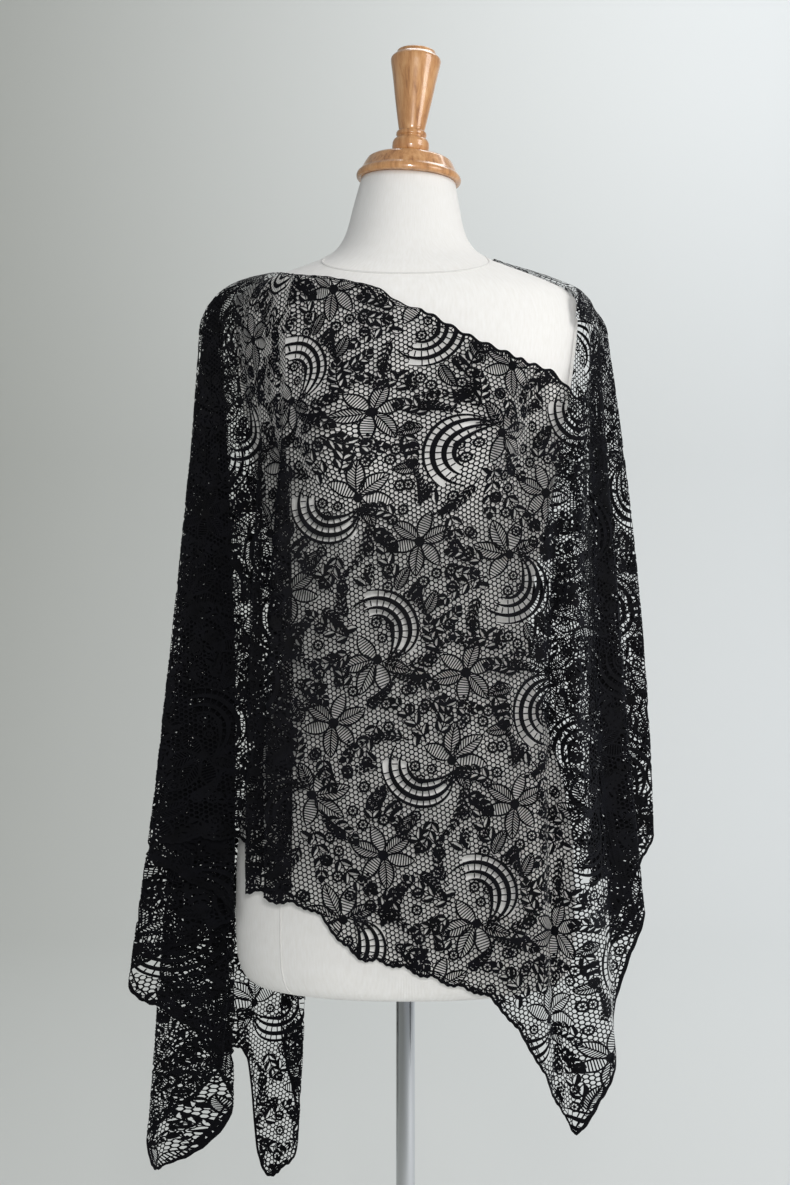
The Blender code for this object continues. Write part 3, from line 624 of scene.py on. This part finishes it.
def cluster(centre, turn):
    """A dense group of dark dots: three staggered rows of four, turned about the centre."""
    row, column = np.divmod(np.arange(12), 4)
    spots = np.stack([(column - 1.5 + 0.5 * (row % 2)) * 3.9, (row - 1) * 3.5], axis=1)
    spots = turned_to(spots, turn, *centre, 1.0)
    return [disc(spot, 1.75, 6) for spot in spots], np.column_stack([spots, np.full(12, 1.2)])


def motif(kind, x, y, turn, size, wide, bend):
    """One motif by its kind's name: its shapes, and the discs that the net keeps out of."""
    if kind == "ring":
        return ring_flower((x, y), size)
    if kind == "dot":
        return [disc((x, y), size, 10)], np.array([[x, y, size * 0.8]])
    if kind == "leaf":
        return half_leaf((x, y), turn, size, wide + 1, bend, 1)
    if kind == "veined":
        return veined_leaf((x, y), turn, size, wide, bend)
    if kind == "striped":
        return striped_leaf((x, y), turn, size, wide, bend)
    if kind == "fern":
        return fern((x, y), turn, size, bend, 8, wide)
    if kind == "twig":
        return fern((x, y), turn, size, bend, 4, wide * 1.2, 6.4, 50.0, 0.75, halved=True)
    if kind == "cluster":
        return cluster((x, y), turn)
    return berries((x, y), turn, size, bend, 4)


def turned_to(points, degrees, g, h, flip):
    """Points turned and moved to (g, h) of the pattern; flip -1 mirrors them first."""
    a = math.radians(degrees)
    x, y = points[:, 0], points[:, 1] * flip
    return np.stack([g + x * math.cos(a) - y * math.sin(a), h + x * math.sin(a) + y * math.cos(a)], axis=1)


def repeat_cell():
    """The motifs of four fans and the gaps beside them: points, faces and the discs kept free of net."""
    sets = []
    for rows in (GROUP, BETWEEN):
        made = [motif(*row) for row in rows]
        sets.append(([shape for shapes, _ in made for shape in shapes], [gone for _, gone in made]))
    placed, clear = [], []
    for row, turn in enumerate(FAN_TURNS):
        g, h, flip = (row % 2) * REPEAT / 2, row * REPEAT / 2, 1.0 - 2.0 * (row % 2)
        places = ((fan(), g, turn), (sets[0], g, turn), (sets[1], g + REPEAT / 2, turn * 0.5 + 40 * row))
        for (shapes, discs), g0, degrees in places:
            for points, faces in shapes:
                placed.append((turned_to(points, degrees, g0, h, flip), faces if flip > 0 else faces[:, ::-1]))
            clear += [np.column_stack([turned_to(d[:, :2], degrees, g0, h, flip), d[:, 2]]) for d in discs]
    return *joined(placed), np.concatenate(clear)


MASK_CELL = 0.5


def net_mask(clear):
    """True where the net is left out: inside any disc, over one repeat of 368 by 184 mm."""
    wide, high = int(2 * REPEAT / MASK_CELL), int(REPEAT / MASK_CELL)
    mask = np.zeros((high, wide), bool)
    for x, y, radius in clear[clear[:, 2] > 0]:
        steps = int(radius / MASK_CELL) + 1
        i = int(round(x / MASK_CELL)) + np.arange(-steps, steps + 1)
        j = int(round(y / MASK_CELL)) + np.arange(-steps, steps + 1)
        inside = (i[None, :] * MASK_CELL - x) ** 2 + (j[:, None] * MASK_CELL - y) ** 2 < radius**2
        lap = np.floor_divide(j, high)
        across = (i[None, :] - lap[:, None] * (wide // 2)) % wide
        up = np.broadcast_to((j % high)[:, None], across.shape)
        mask[up[inside], across[inside]] = True
    return mask


def left_out(mask, points):
    """The mask read at pattern points."""
    high, wide = mask.shape
    lap = np.floor(points[..., 1] / REPEAT).astype(int)
    j = ((points[..., 1] - lap * REPEAT) / MASK_CELL).astype(int) % high
    i = np.floor((points[..., 0] - lap * REPEAT) / MASK_CELL).astype(int) % wide
    return mask[j, i]


def net(low, high, mask):
    """The ground over a box of the pattern: an even six-sided net. Each knot is a small triangle and each
    thread a band between two of them, so each opening is the hexagon that they leave."""
    side, open_share = NET_PITCH / math.sqrt(3), 1 - THREAD / NET_PITCH
    rows = np.arange(math.floor(low[1] / (1.5 * side)) - 1, math.ceil(high[1] / (1.5 * side)) + 2)
    columns = np.arange(math.floor(low[0] / NET_PITCH) - 1, math.ceil(high[0] / NET_PITCH) + 2)
    i, j = np.meshgrid(columns, rows)
    odd = rows % 2
    centre = np.stack([(i + 0.5 * odd[:, None]) * NET_PITCH, j * 1.5 * side], axis=-1)
    turn = np.radians(30 + 60 * np.arange(6))
    corner = centre[:, :, None, :] + side * open_share * rays(turn)
    index = np.arange(corner[..., 0].size).reshape(corner.shape[:3])
    right = np.roll(index, -1, axis=1)
    above = np.roll(index, -1, axis=0)
    even_row = (odd == 0)[:, None, None]
    upper_right = np.where(even_row, above, np.roll(above, -1, axis=1))
    upper_left = np.where(even_row, np.roll(above, 1, axis=1), above)
    triangles = [
        (index[..., 1], upper_left[..., 5], upper_right[..., 3]),
        (index[..., 0], upper_right[..., 4], right[..., 2]),
    ]
    for a, b, c, d in (
        (index[..., 5], right[..., 3], right[..., 2], index[..., 0]),
        (index[..., 0], upper_right[..., 4], upper_right[..., 3], index[..., 1]),
        (index[..., 1], upper_left[..., 5], upper_left[..., 4], index[..., 2]),
    ):
        triangles += [(a, b, c), (a, c, d)]
    faces = np.concatenate([np.stack(t, axis=-1)[1:-2, 1:-2].reshape(-1, 3) for t in triangles])
    points = corner.reshape(-1, 2)
    middle = points[faces].mean(axis=1)
    inside = (middle > low).all(axis=1) & (middle < high).all(axis=1)
    return points, faces[inside & ~left_out(mask, middle)]


def doubled_areas(points, faces):
    """Twice each flat triangle's area, with the sign of its way round: the cross product of two sides."""
    a, b, c = (points[faces[:, k]] for k in range(3))
    return (b[:, 0] - a[:, 0]) * (c[:, 1] - a[:, 1]) - (b[:, 1] - a[:, 1]) * (c[:, 0] - a[:, 0])


def wound_ccw(points, faces):
    """Flat triangles all turned the same way round."""
    return np.where((doubled_areas(points, faces) < 0)[:, None], faces[:, ::-1], faces)


def pattern_to_cloth(points):
    """From the pattern's grain to (flat length, way down): a turn by the grain's slope."""
    g, h = points[:, 0], points[:, 1]
    c, s = math.cos(GRAIN_SLOPE), math.sin(GRAIN_SLOPE)
    return np.stack([g * c - h * s, g * s + h * c], axis=1)


MOTIF_LIFT = 0.35


def flat_lace(cloth):
    """The whole lace in the flat: points as (flat length, way down), triangles, each point's lift."""
    cell_points, cell_faces, clear = repeat_cell()
    mask = net_mask(clear)
    corners = np.array([(x, y) for x in (cloth.low, cloth.high) for y in (cloth.rows[0], cloth.hem_of.max())])
    c, s = math.cos(GRAIN_SLOPE), math.sin(GRAIN_SLOPE)
    grain = np.stack([corners[:, 0] * c + corners[:, 1] * s, corners[:, 1] * c - corners[:, 0] * s], axis=1)
    low, high = grain.min(axis=0), grain.max(axis=0)
    shapes = [net(low, high, mask)]
    in_net = len(shapes[0][0])
    for up in range(math.floor(low[1] / REPEAT) - 2, math.ceil(high[1] / REPEAT) + 2):
        first = math.floor((low[0] - up * REPEAT) / (2 * REPEAT)) - 1
        last = math.ceil((high[0] - up * REPEAT) / (2 * REPEAT)) + 1
        for across in range(first, last + 1):
            place = np.array([across * 2 * REPEAT + up * REPEAT, up * REPEAT])
            shapes.append((cell_points + place, cell_faces))
    points, faces = joined(shapes)
    return pattern_to_cloth(points), faces, np.where(np.arange(len(points)) < in_net, 0.0, MOTIF_LIFT)


# How far inside the edge the lace ends, and the edge's waves: how deep, how long, how far off the cut.
EDGE_INSET = 1.2
NECK_WAVE = dict(deep=1.4, long=17, off=0.5)
HEM_SCALLOP = dict(deep=4.4, long=27, off=3.2)
PICOT = dict(deep=0.7, long=6.2)
# The edge's cords: how far inside the line each lies, and how wide it is.
CORD, FINE_CORD, CORD_BAR, EDGE_LIFT = (0.9, 2.8), (5.0, 1.1), 1.0, 0.6


def edge_lines(cloth, flat):
    """Way down of the scalloped neckline and hem at these flat lengths: the cut's edge and a wave,
    depth * (|sin| scallops + finer picots)."""
    neck = np.interp(flat, cloth.columns, cloth.neck_of)
    hem = np.interp(flat, cloth.columns, cloth.hem_of)
    scallop = np.abs(np.sin(np.pi * flat / HEM_SCALLOP["long"] + 0.6 * np.sin(flat / 90)))
    wave = np.sin(2 * np.pi * flat / NECK_WAVE["long"] + np.sin(flat / 40))
    picot = np.sin(2 * np.pi * flat / PICOT["long"])
    neck = neck + NECK_WAVE["deep"] * wave + NECK_WAVE["off"]
    hem = hem - HEM_SCALLOP["off"] + HEM_SCALLOP["deep"] * scallop + PICOT["deep"] * picot
    return neck, hem


def lace_pieces(cloth, finish):
    """The lace in its five pieces, cut at the neckline and the hem, each with its flat area in mm2."""
    flat, faces, lift = flat_lace(cloth)
    neck, hem = edge_lines(cloth, flat[:, 0])
    above, below = flat[:, 1] < neck + EDGE_INSET, flat[:, 1] > hem - EDGE_INSET
    beside = (flat[:, 0] <= cloth.low) | (flat[:, 0] >= cloth.high)
    gone = above[faces].all(axis=1) | below[faces].all(axis=1) | beside[faces].any(axis=1)
    faces = faces[~gone]
    flat[:, 1] = np.clip(flat[:, 1], neck + EDGE_INSET, hem - EDGE_INSET)
    faces = wound_ccw(flat, faces)[:, ::-1]
    middle = flat[faces].mean(axis=1)[:, 0]
    made = {}
    for name, (start, end) in STRETCHES.items():
        right, left = cloth.flat_at(start), cloth.flat_at(end)
        if right > left:
            mine = (middle <= right) & (middle > left)
        else:  # the stretch that the pattern's break lies in
            mine = (middle <= right) | (middle > left)
        some = faces[mine]
        used, some = np.unique(some, return_inverse=True)
        some = some.reshape(-1, 3)
        area = np.abs(doubled_areas(flat[used], some)).sum() / 2
        piece = mesh_of(name, cloth.laid(flat[used], lift[used]), some, finish)
        give_uv(piece, flat[used] * MM)
        made[name] = (piece, area)
    return made


def edging(cloth, name, which, finish):
    """The thick scalloped edge: a cord along the line, a finer one inside it and short bars between."""
    flat = np.linspace(cloth.low + 0.4, cloth.high - 0.4, round((cloth.high - cloth.low) / 1.6))
    line = edge_lines(cloth, flat)[which]
    inward = 1 if which == 0 else -1
    path = np.stack([flat, line], axis=1)
    across = sideways(np.gradient(path, axis=0))
    across *= inward * np.sign(across[:, 1:])
    outer, inner = (path + across * inset for inset, _ in (CORD, FINE_CORD))
    cords = [ribbon(outer, CORD[1]), ribbon(inner, FINE_CORD[1]), bars(outer[::3], inner[::3], CORD_BAR)]
    points, faces = joined(cords)
    piece = mesh_of(name, cloth.laid(points, EDGE_LIFT), wound_ccw(points, faces)[:, ::-1], finish)
    give_uv(piece, points * MM)
    return piece


# The seam's strand at the neck and at the hem, its stitches, half its width and its threads' widths.
SEAM = dict(neck=37.9, hem=35.4, stitches=260, half=2.4, line=1.3, zigzag=0.9, lift=0.8)


def joining_seam(cloth, finish):
    """Where the short end is sewn to the neck edge: two lines of stitching down the right drape and the
    overlocking thread that zigzags between them."""
    share = np.linspace(0, 1, SEAM["stitches"])
    start, end = cloth.flat_at(SEAM["neck"]), cloth.flat_at(SEAM["hem"])
    flat = start + (end - start) * share
    top = np.interp(flat[0], cloth.columns, cloth.neck_of) + 3
    down = top + (np.interp(flat[-1], cloth.columns, cloth.hem_of) - 6 - top) * share
    path = np.stack([flat, down], axis=1)
    left, right = path - np.array([SEAM["half"], 0]), path + np.array([SEAM["half"], 0])
    lines = [ribbon(line, SEAM["line"]) for line in (left, right)]
    points, faces = joined([*lines, bars(left[:-1], right[1:], SEAM["zigzag"])])
    laid = cloth.laid(points, SEAM["lift"])
    piece = mesh_of("joining_seam", laid, wound_ccw(points, faces)[:, ::-1], finish)
    give_uv(piece, points * MM)
    return piece


# ---- finishes ----
def finish_of(name, colour, roughness, **sockets):
    """A Principled material and its node tree; the sockets are set on the shader itself."""
    made = bpy.data.materials.new(name)
    made.use_nodes = True
    shader = made.node_tree.nodes["Principled BSDF"]
    shader.inputs["Base Color"].default_value = (*colour, 1)
    shader.inputs["Roughness"].default_value = roughness
    for socket, value in sockets.items():
        shader.inputs[socket.replace("_", " ")].default_value = value
    return made, made.node_tree, shader


def node(tree, kind, **settings):
    """A new node with its settings."""
    made = tree.nodes.new(kind)
    for key, value in settings.items():
        setattr(made, key, value)
    return made


def textured(tree, kind, coordinates, scale, stretch=(1, 1, 1), **inputs):
    """A texture node read at stretched coordinates."""
    mapping = node(tree, "ShaderNodeMapping")
    mapping.inputs["Scale"].default_value = stretch
    tree.links.new(coordinates, mapping.inputs["Vector"])
    made = node(tree, kind)
    made.inputs["Scale"].default_value = scale
    for key, value in inputs.items():
        if key == "bands_direction":
            setattr(made, key, value)
        else:
            made.inputs[key.replace("_", " ")].default_value = value
    tree.links.new(mapping.outputs["Vector"], made.inputs["Vector"])
    return made


def coloured(tree, shader, factor, stops, socket="Base Color"):
    """A colour ramp from a factor to one of the shader's sockets."""
    ramp = node(tree, "ShaderNodeValToRGB")
    while len(ramp.color_ramp.elements) < len(stops):
        ramp.color_ramp.elements.new(0.5)
    for element, (at, colour) in zip(ramp.color_ramp.elements, stops):
        element.position = at
        element.color = (*colour, 1) if len(colour) == 3 else (colour[0],) * 3 + (1,)
    tree.links.new(factor, ramp.inputs["Fac"])
    tree.links.new(ramp.outputs["Color"], shader.inputs[socket])


def bumped(tree, shader, height, distance, strength):
    """A bump of the shader's surface, so far in metres and so strong."""
    bump = node(tree, "ShaderNodeBump")
    bump.inputs["Distance"].default_value = distance
    bump.inputs["Strength"].default_value = strength
    tree.links.new(height, bump.inputs["Height"])
    tree.links.new(bump.outputs["Normal"], shader.inputs["Normal"])


def lace_finish():
    """Black yarn: fine slanting threads, uneven in depth and darkness, with a soft sheen."""
    made, tree, shader = finish_of(
        "black lace yarn", (0.003, 0.003, 0.004), 0.50, Sheen_Weight=0.03, Sheen_Roughness=0.4,
        Sheen_Tint=(0.5, 0.55, 0.75, 1), Specular_IOR_Level=0.07,
    )
    uv = node(tree, "ShaderNodeUVMap", uv_map="pattern").outputs["UV"]
    threads = textured(tree, "ShaderNodeTexWave", uv, 900, (1, 0.45, 1), Distortion=2.0, Detail=1.0)
    blotch = textured(tree, "ShaderNodeTexNoise", uv, 55, Detail=4.0)
    shades = [(0.3, (0.0015, 0.0015, 0.002)), (0.7, (0.004, 0.004, 0.006))]
    coloured(tree, shader, blotch.outputs["Fac"], shades)
    bumped(tree, shader, threads.outputs["Fac"], 0.0002, 0.6)
    return made


# Texture scales of the linen's threads and its slubs, and of the wood's grain and its pores.
WEAVE, SLUBS = 330, 420
GRAIN, PORES = 190, 700


# painted_shade below 1 darkens the linen's whole colour: painted shade for the seam cords.
def linen_finish(name, laid_flat, painted_shade=1.0):
    """Cream linen: warp and weft waves crossed, and slubs in the thread. It follows the piece's own UV
    map where the cloth is laid flat, and its plane across the body on the armholes' plates."""
    made, tree, shader = finish_of(name, (0.84, 0.81, 0.76), 0.85, Sheen_Weight=0.1, Specular_IOR_Level=0.2)
    if laid_flat:
        uv = node(tree, "ShaderNodeUVMap", uv_map="pattern").outputs["UV"]
    else:
        turned = node(tree, "ShaderNodeMapping")
        turned.inputs["Rotation"].default_value = (0, math.pi / 2, 0)
        tree.links.new(node(tree, "ShaderNodeTexCoord").outputs["Object"], turned.inputs["Vector"])
        uv = turned.outputs["Vector"]
    warp, weft = (
        textured(tree, "ShaderNodeTexWave", uv, WEAVE, bands_direction=way, Distortion=1.2, Detail=2.0)
        for way in "XY"
    )
    both = node(tree, "ShaderNodeMath", operation="ADD")
    tree.links.new(warp.outputs["Fac"], both.inputs[0])
    tree.links.new(weft.outputs["Fac"], both.inputs[1])
    slub = textured(tree, "ShaderNodeTexNoise", uv, SLUBS, (1, 0.2, 1), Detail=3.0)
    shades = [
        (at, tuple(part * painted_shade for part in tone))
        for at, tone in ((0.3, (0.84, 0.82, 0.785)), (0.7, (0.89, 0.875, 0.85)))
    ]
    coloured(tree, shader, slub.outputs["Fac"], shades)
    bumped(tree, shader, both.outputs["Value"], 0.00018, 0.5)
    return made


def wood_finish():
    """Honey wood under varnish: long grain up the turning axis, darker pores and a clear coat."""
    made, tree, shader = finish_of(
        "varnished honey wood", (0.60, 0.29, 0.09), 0.32, Coat_Weight=0.8, Coat_Roughness=0.12,
    )
    place = node(tree, "ShaderNodeTexCoord").outputs["Object"]
    grain = textured(
        tree, "ShaderNodeTexNoise", place, GRAIN, (1, 1, 0.07), Detail=6.0, Roughness=0.66, Distortion=0.4,
    )
    coloured(tree, shader, grain.outputs["Fac"], [
        (0.30, (0.28, 0.115, 0.040)), (0.43, (0.50, 0.235, 0.085)), (0.57, (0.62, 0.320, 0.130)),
        (0.75, (0.72, 0.430, 0.210)),
    ])
    pores = textured(tree, "ShaderNodeTexNoise", place, PORES, (1, 1, 0.05), Detail=3.0)
    bumped(tree, shader, pores.outputs["Fac"], 0.0002, 0.35)
    return made


def metal_finish(name, colour, roughness, brushed):
    """Polished or brushed metal: fine streaks in the roughness."""
    made, tree, shader = finish_of(name, colour, roughness, Metallic=1.0)
    place = node(tree, "ShaderNodeTexCoord").outputs["Object"]
    streak = textured(tree, "ShaderNodeTexNoise", place, 160 if brushed else 12, (1, 1, 0.2), Detail=4.0)
    spread = 0.12 if brushed else 0.03
    stops = [(0.3, (roughness - spread,)), (0.7, (roughness + spread,))]
    coloured(tree, shader, streak.outputs["Fac"], stops, "Roughness")
    return made


def paint_finish():
    """Matt wall paint with painted light: darker to the left as painted shade, lighter to the right, a colour
    ramp along x.
    """
    made, tree, shader = finish_of("wall paint with painted shade", WALL_PAINTED_LIGHT, 0.9, Specular_IOR_Level=0.2)
    place = node(tree, "ShaderNodeSeparateXYZ")
    tree.links.new(node(tree, "ShaderNodeTexCoord").outputs["Object"], place.inputs["Vector"])
    across = node(tree, "ShaderNodeMapRange")
    across.inputs["From Min"].default_value, across.inputs["From Max"].default_value = WALL_SHADE_SPAN
    tree.links.new(place.outputs["X"], across.inputs["Value"])
    coloured(tree, shader, across.outputs["Result"], [(0.0, WALL_PAINTED_SHADE), (1.0, WALL_PAINTED_LIGHT)])
    return made


# ---- the form ----
def grid_faces(rows, columns, closed=True):
    """Quads of a grid of points, rows by columns, closed across or not."""
    index = np.arange(rows * columns).reshape(rows, columns)
    beside = np.roll(index, -1, axis=1)
    if not closed:
        index, beside = index[:, :-1], beside[:, :-1]
    return np.stack([index[:-1], beside[:-1], beside[1:], index[1:]], axis=-1).reshape(-1, 4)


def linen_torso(finish):
    """The form's skin on a fine grid. At either end its rows shrink to the middle and close it flat."""
    columns, shrink, mean_radius = 168, np.array([0.0, 0.5, 0.9, 0.985]), 140
    z = np.concatenate([np.linspace(660, 690, 12)[:-1], np.linspace(690, FORM_TOP, 150)])
    angle = np.linspace(0, 2 * np.pi, columns, endpoint=False)
    skin = form_point(angle[None, :] + 0 * z[:, None], z[:, None] + 0 * angle[None, :])
    ends = []
    for row in (skin[0], skin[-1]):
        middle = row.mean(axis=0)
        ends.append(middle + (row - middle)[None] * shrink[:, None, None])
    points = np.concatenate([ends[0], skin, ends[1][::-1]])
    rows = len(points)
    piece = mesh_of("linen_torso", points.reshape(-1, 3) * MM, grid_faces(rows, columns), finish)
    run = np.concatenate([[0], np.cumsum(np.linalg.norm(np.diff(points, axis=0), axis=2).mean(axis=1))])
    across = np.broadcast_to(angle[None, :] * mean_radius, (rows, columns))
    along = np.broadcast_to(run[:, None], (rows, columns))
    give_uv(piece, np.stack([across, along], axis=-1).reshape(-1, 2) * MM)
    return piece


def welt(name, path, radius, finish, closed):
    """A fine cord along a path: a ring of eight points carried along it, across its direction."""
    along = np.roll(path, -1, axis=0) - np.roll(path, 1, axis=0) if closed else np.gradient(path, axis=0)
    along /= np.linalg.norm(along, axis=1)[:, None]
    side = np.cross(along, np.array([0, 0, 1.0]) if abs(along[:, 2]).mean() < 0.7 else np.array([0, 1.0, 0]))
    side /= np.linalg.norm(side, axis=1)[:, None]
    up = np.cross(side, along)
    turn = np.arange(8) * np.pi / 4
    ring = side[:, None] * np.cos(turn)[None, :, None] + up[:, None] * np.sin(turn)[None, :, None]
    points = path[:, None] + ring * radius
    if closed:
        points = np.concatenate([points, points[:1]])
    piece = mesh_of(name, points.reshape(-1, 3) * MM, grid_faces(len(points), 8)[:, ::-1], finish)
    give_uv(piece, np.repeat(np.arange(len(points)), 8)[:, None] * np.array([[0.002, 0.0]]))
    return piece


def turned_piece(name, profile, place, lean, finish):
    """A turned piece: a profile of (radius, height), its corners eased, swept round the leaning axis."""
    sides, ease_steps = 96, 5
    profile = np.array(profile, float)
    lengths = np.linalg.norm(np.diff(profile, axis=0), axis=1)
    ease = np.minimum(0.8, np.minimum(lengths[:-1], lengths[1:]) * 0.4)
    points = [profile[:1]]
    for k in range(1, len(profile) - 1):
        before = profile[k] + (profile[k - 1] - profile[k]) * ease[k - 1] / lengths[k - 1]
        after = profile[k] + (profile[k + 1] - profile[k]) * ease[k - 1] / lengths[k]
        t = np.linspace(0, 1, ease_steps)[:, None]
        points.append((1 - t) ** 2 * before + 2 * t * (1 - t) * profile[k] + t * t * after)
    points = np.concatenate([*points, profile[-1:]])
    turn = np.linspace(0, 2 * np.pi, sides, endpoint=False)
    x = points[:, :1] * np.cos(turn)
    y = points[:, :1] * np.sin(turn)
    z = np.broadcast_to(points[:, 1:], x.shape)
    a = math.radians(lean)
    grid = np.stack([x * math.cos(a) + z * math.sin(a), y, z * math.cos(a) - x * math.sin(a)], axis=-1)
    grid = grid + np.array(place)
    return mesh_of(name, grid.reshape(-1, 3) * MM, grid_faces(len(points), sides)[:, ::-1], finish)


# The form's seams, as cords of these radii. The neck's dips in front and rises behind. The long ones run from
# the chest to the foot, so many degrees round the body.
NECK_SEAM = dict(height=1381, dip=27, rise=4, radius=0.9)
LONG_SEAMS = dict(left_front=227, right_front=313, left_back=128, right_back=52)
LONG_SEAM = dict(top=1235, foot=664, radius=0.8)
# The cap's height, and how far apart two seated pieces are.
CAP_HEIGHT, TOUCH = 23, 0.3
# Turned profiles: radius and height above the foot.
CAP = [
    (0.01, 23), (36, 23), (39.5, 22.6), (42.5, 20.5), (45, 16), (48.5, 9.5), (51.6, 6.5),
    (52.6, 3.8), (52, 1.2), (50.5, 0), (0.01, 0),
]
POLE = [(0.01, 659.7), (9.5, 659.7), (9.5, 10.3), (0.01, 10.3)]
FINIAL = [
    (0.01, 109), (13, 109), (16.5, 108.5), (19.2, 107), (19.7, 104.5), (22.5, 102.2), (24.6, 100),
    (25.1, 98), (24.6, 94), (23.2, 87), (21.2, 76), (19, 62), (16.9, 50), (14.9, 39), (13.2, 30),
    (12.6, 27.6), (14.6, 26.4), (15.2, 25), (15.2, 22.8), (14, 21.4), (14.2, 20.4), (17, 18.4), (18.4, 15.4),
    (18.5, 10.5), (17.4, 6.8), (15, 3.8), (14, 1.5), (14, 0), (0.01, 0),
]


def build():
    """Every piece with its finish, riding the root: lace, edges and seam, the form and its stand."""
    lace, wood = lace_finish(), wood_finish()
    linen, plate_linen = linen_finish("cream linen", True), linen_finish("cream linen plate", False)
    # The seams' linen, darkened to 0.84 of the plain linen: painted shade along the seam lines.
    seam_linen_painted_shade = linen_finish("cream linen seam, painted shade", True, 0.84)
    chrome = metal_finish("polished chrome", (0.62, 0.63, 0.65), 0.12, False)
    steel = metal_finish("brushed steel", (0.55, 0.56, 0.57), 0.36, True)
    cloth = Cloth(Drape())
    for name, (piece, area) in lace_pieces(cloth, lace).items():
        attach(piece, "root")
        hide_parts(SOLID_OF[name])
    for name, which in (("neck_edging", 0), ("hem_edging", 1)):
        piece = edging(cloth, name, which, lace)
        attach(piece, "root")
    seam = joining_seam(cloth, lace)
    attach(seam, "root")

    torso = linen_torso(linen)
    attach(torso, "root")
    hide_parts("form_torso")
    seams = []
    angle = np.linspace(0, 2 * np.pi, 200, endpoint=False)
    front, back = np.clip(-np.sin(angle), 0, 1), np.clip(np.sin(angle), 0, 1)
    neck_height = NECK_SEAM["height"] - NECK_SEAM["dip"] * front**2 + NECK_SEAM["rise"] * back**2
    neck_line = form_point(angle, neck_height)
    seams.append(welt("neck_seam", neck_line, NECK_SEAM["radius"], seam_linen_painted_shade, closed=True))
    down = np.linspace(LONG_SEAM["top"], LONG_SEAM["foot"], 160)
    for word, turn in LONG_SEAMS.items():
        path = form_point(np.full(len(down), math.radians(turn)), down)
        seams.append(welt(f"{word}_seam", path, LONG_SEAM["radius"], seam_linen_painted_shade, closed=False))
    for seam in seams:
        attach(seam, "root")

    axis = np.array([math.sin(math.radians(CAP_LEAN)), 0, math.cos(math.radians(CAP_LEAN))])
    foot = np.array([NECK_SHIFT, 0, FORM_TOP]) + axis * TOUCH
    for name, profile, place, solid in (
        ("turned_cap", CAP, foot, "form_neck_cap"),
        ("turned_finial", FINIAL, foot + axis * (CAP_HEIGHT + TOUCH), "form_finial"),
    ):
        piece = turned_piece(name, profile, place, CAP_LEAN, wood)
        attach(piece, "root")
        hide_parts(solid)
    pole = turned_piece("pole_tube", POLE, (0, 0, 0), 0, chrome)
    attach(pole, "root")
    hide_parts("form_pole")
    for solid, finish in (
        ("form_armhole_left", plate_linen), ("form_armhole_right", plate_linen),
        ("form_collar", chrome), ("form_base", steel),
    ):
        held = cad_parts[solid]
        held.data.materials.clear()
        held.data.materials.append(finish)


# The backdrop in metres: how far behind its wall is, the radius at the wall's foot, its height, its near edge,
# half its width, and between which x its painted shade at the left turns to painted light at the right.
WALL_BEHIND, WALL_CURVE, WALL_HIGH = 4.7, 1.6, 6.0
FLOOR_NEAR, WALL_HALF, WALL_SHADE_SPAN = -5.0, 6.0, (-1.7, 1.5)
# Painted shade on the backdrop's left and painted light on its right, standing in for how the lamps fall on
# it.
WALL_PAINTED_SHADE = (0.57, 0.576, 0.538)
WALL_PAINTED_LIGHT = (0.844, 0.861, 0.861)
# The lights, in watts, and the strength of the glow all round.
KEY_POWER = 42.14
CAMERA_POWER = 10.4
WALL_POWER = 85.22
ROOM_STRENGTH = 0.36


def stage_and_light():
    """A pale floor that curves up into a wall by a quarter circle, three soft lights and an even glow."""
    turn = np.linspace(0, np.pi / 2, 33)
    y = np.concatenate([[FLOOR_NEAR], WALL_BEHIND - WALL_CURVE + WALL_CURVE * np.sin(turn), [WALL_BEHIND]])
    z = np.concatenate([[0.0], WALL_CURVE - WALL_CURVE * np.cos(turn), [WALL_HIGH]])
    x = np.array([[-WALL_HALF, WALL_HALF]])
    points = np.stack(np.broadcast_arrays(x, y[:, None], z[:, None]), axis=-1)
    faces = grid_faces(len(y), 2, closed=False)[:, ::-1]
    backdrop = mesh_of("pale_backdrop", points.reshape(-1, 3), faces, paint_finish())

    for name, at, aim, wide, high, power, colour in (
        ("key light", (2.4, -1.4, 2.0), (0.05, 0, 1.05), 1.2, 1.8, KEY_POWER, (1.0, 0.985, 0.97)),
        ("camera light", (0.04, -1.60, 1.17), (0, 0, 1.0), 0.16, 0.16, CAMERA_POWER, (1.0, 1.0, 1.0)),
        ("wall light", (1.0, 1.9, 4.4), (0.5, 3.9, 0.2), 3.0, 2.0, WALL_POWER, (0.98, 0.99, 1.0)),
    ):
        lamp = bpy.data.lights.new(name, "AREA")
        lamp.shape = "RECTANGLE"
        lamp.size, lamp.size_y = wide, high
        lamp.energy = power
        lamp.color = colour
        made = bpy.data.objects.new(name, lamp)
        bpy.context.scene.collection.objects.link(made)
        made.location = at
        made.rotation_euler = (Vector(aim) - Vector(at)).to_track_quat("-Z", "Y").to_euler()
        made.visible_camera = False
    world = bpy.data.worlds.new("room light")
    world.use_nodes = True
    world.node_tree.nodes["Background"].inputs["Color"].default_value = (0.89, 0.93, 0.96, 1)
    world.node_tree.nodes["Background"].inputs["Strength"].default_value = ROOM_STRENGTH
    bpy.context.scene.world = world
    bpy.context.scene.view_settings.view_transform = "Standard"


def camera():
    """The camera, at the photograph's height and distance and with its field of view."""
    lens = bpy.data.cameras.new("camera")
    lens.sensor_width = 36
    lens.lens = lens.sensor_width / 2 / (PHOTO_HIGH / 2 * MM / abs(CAMERA_AT[1]))
    made = bpy.data.objects.new("camera", lens)
    made.location = CAMERA_AT
    made.rotation_euler = (math.pi / 2, 0, 0)
    bpy.context.scene.collection.objects.link(made)
    bpy.context.scene.camera = made


camera()
stage_and_light()
build()
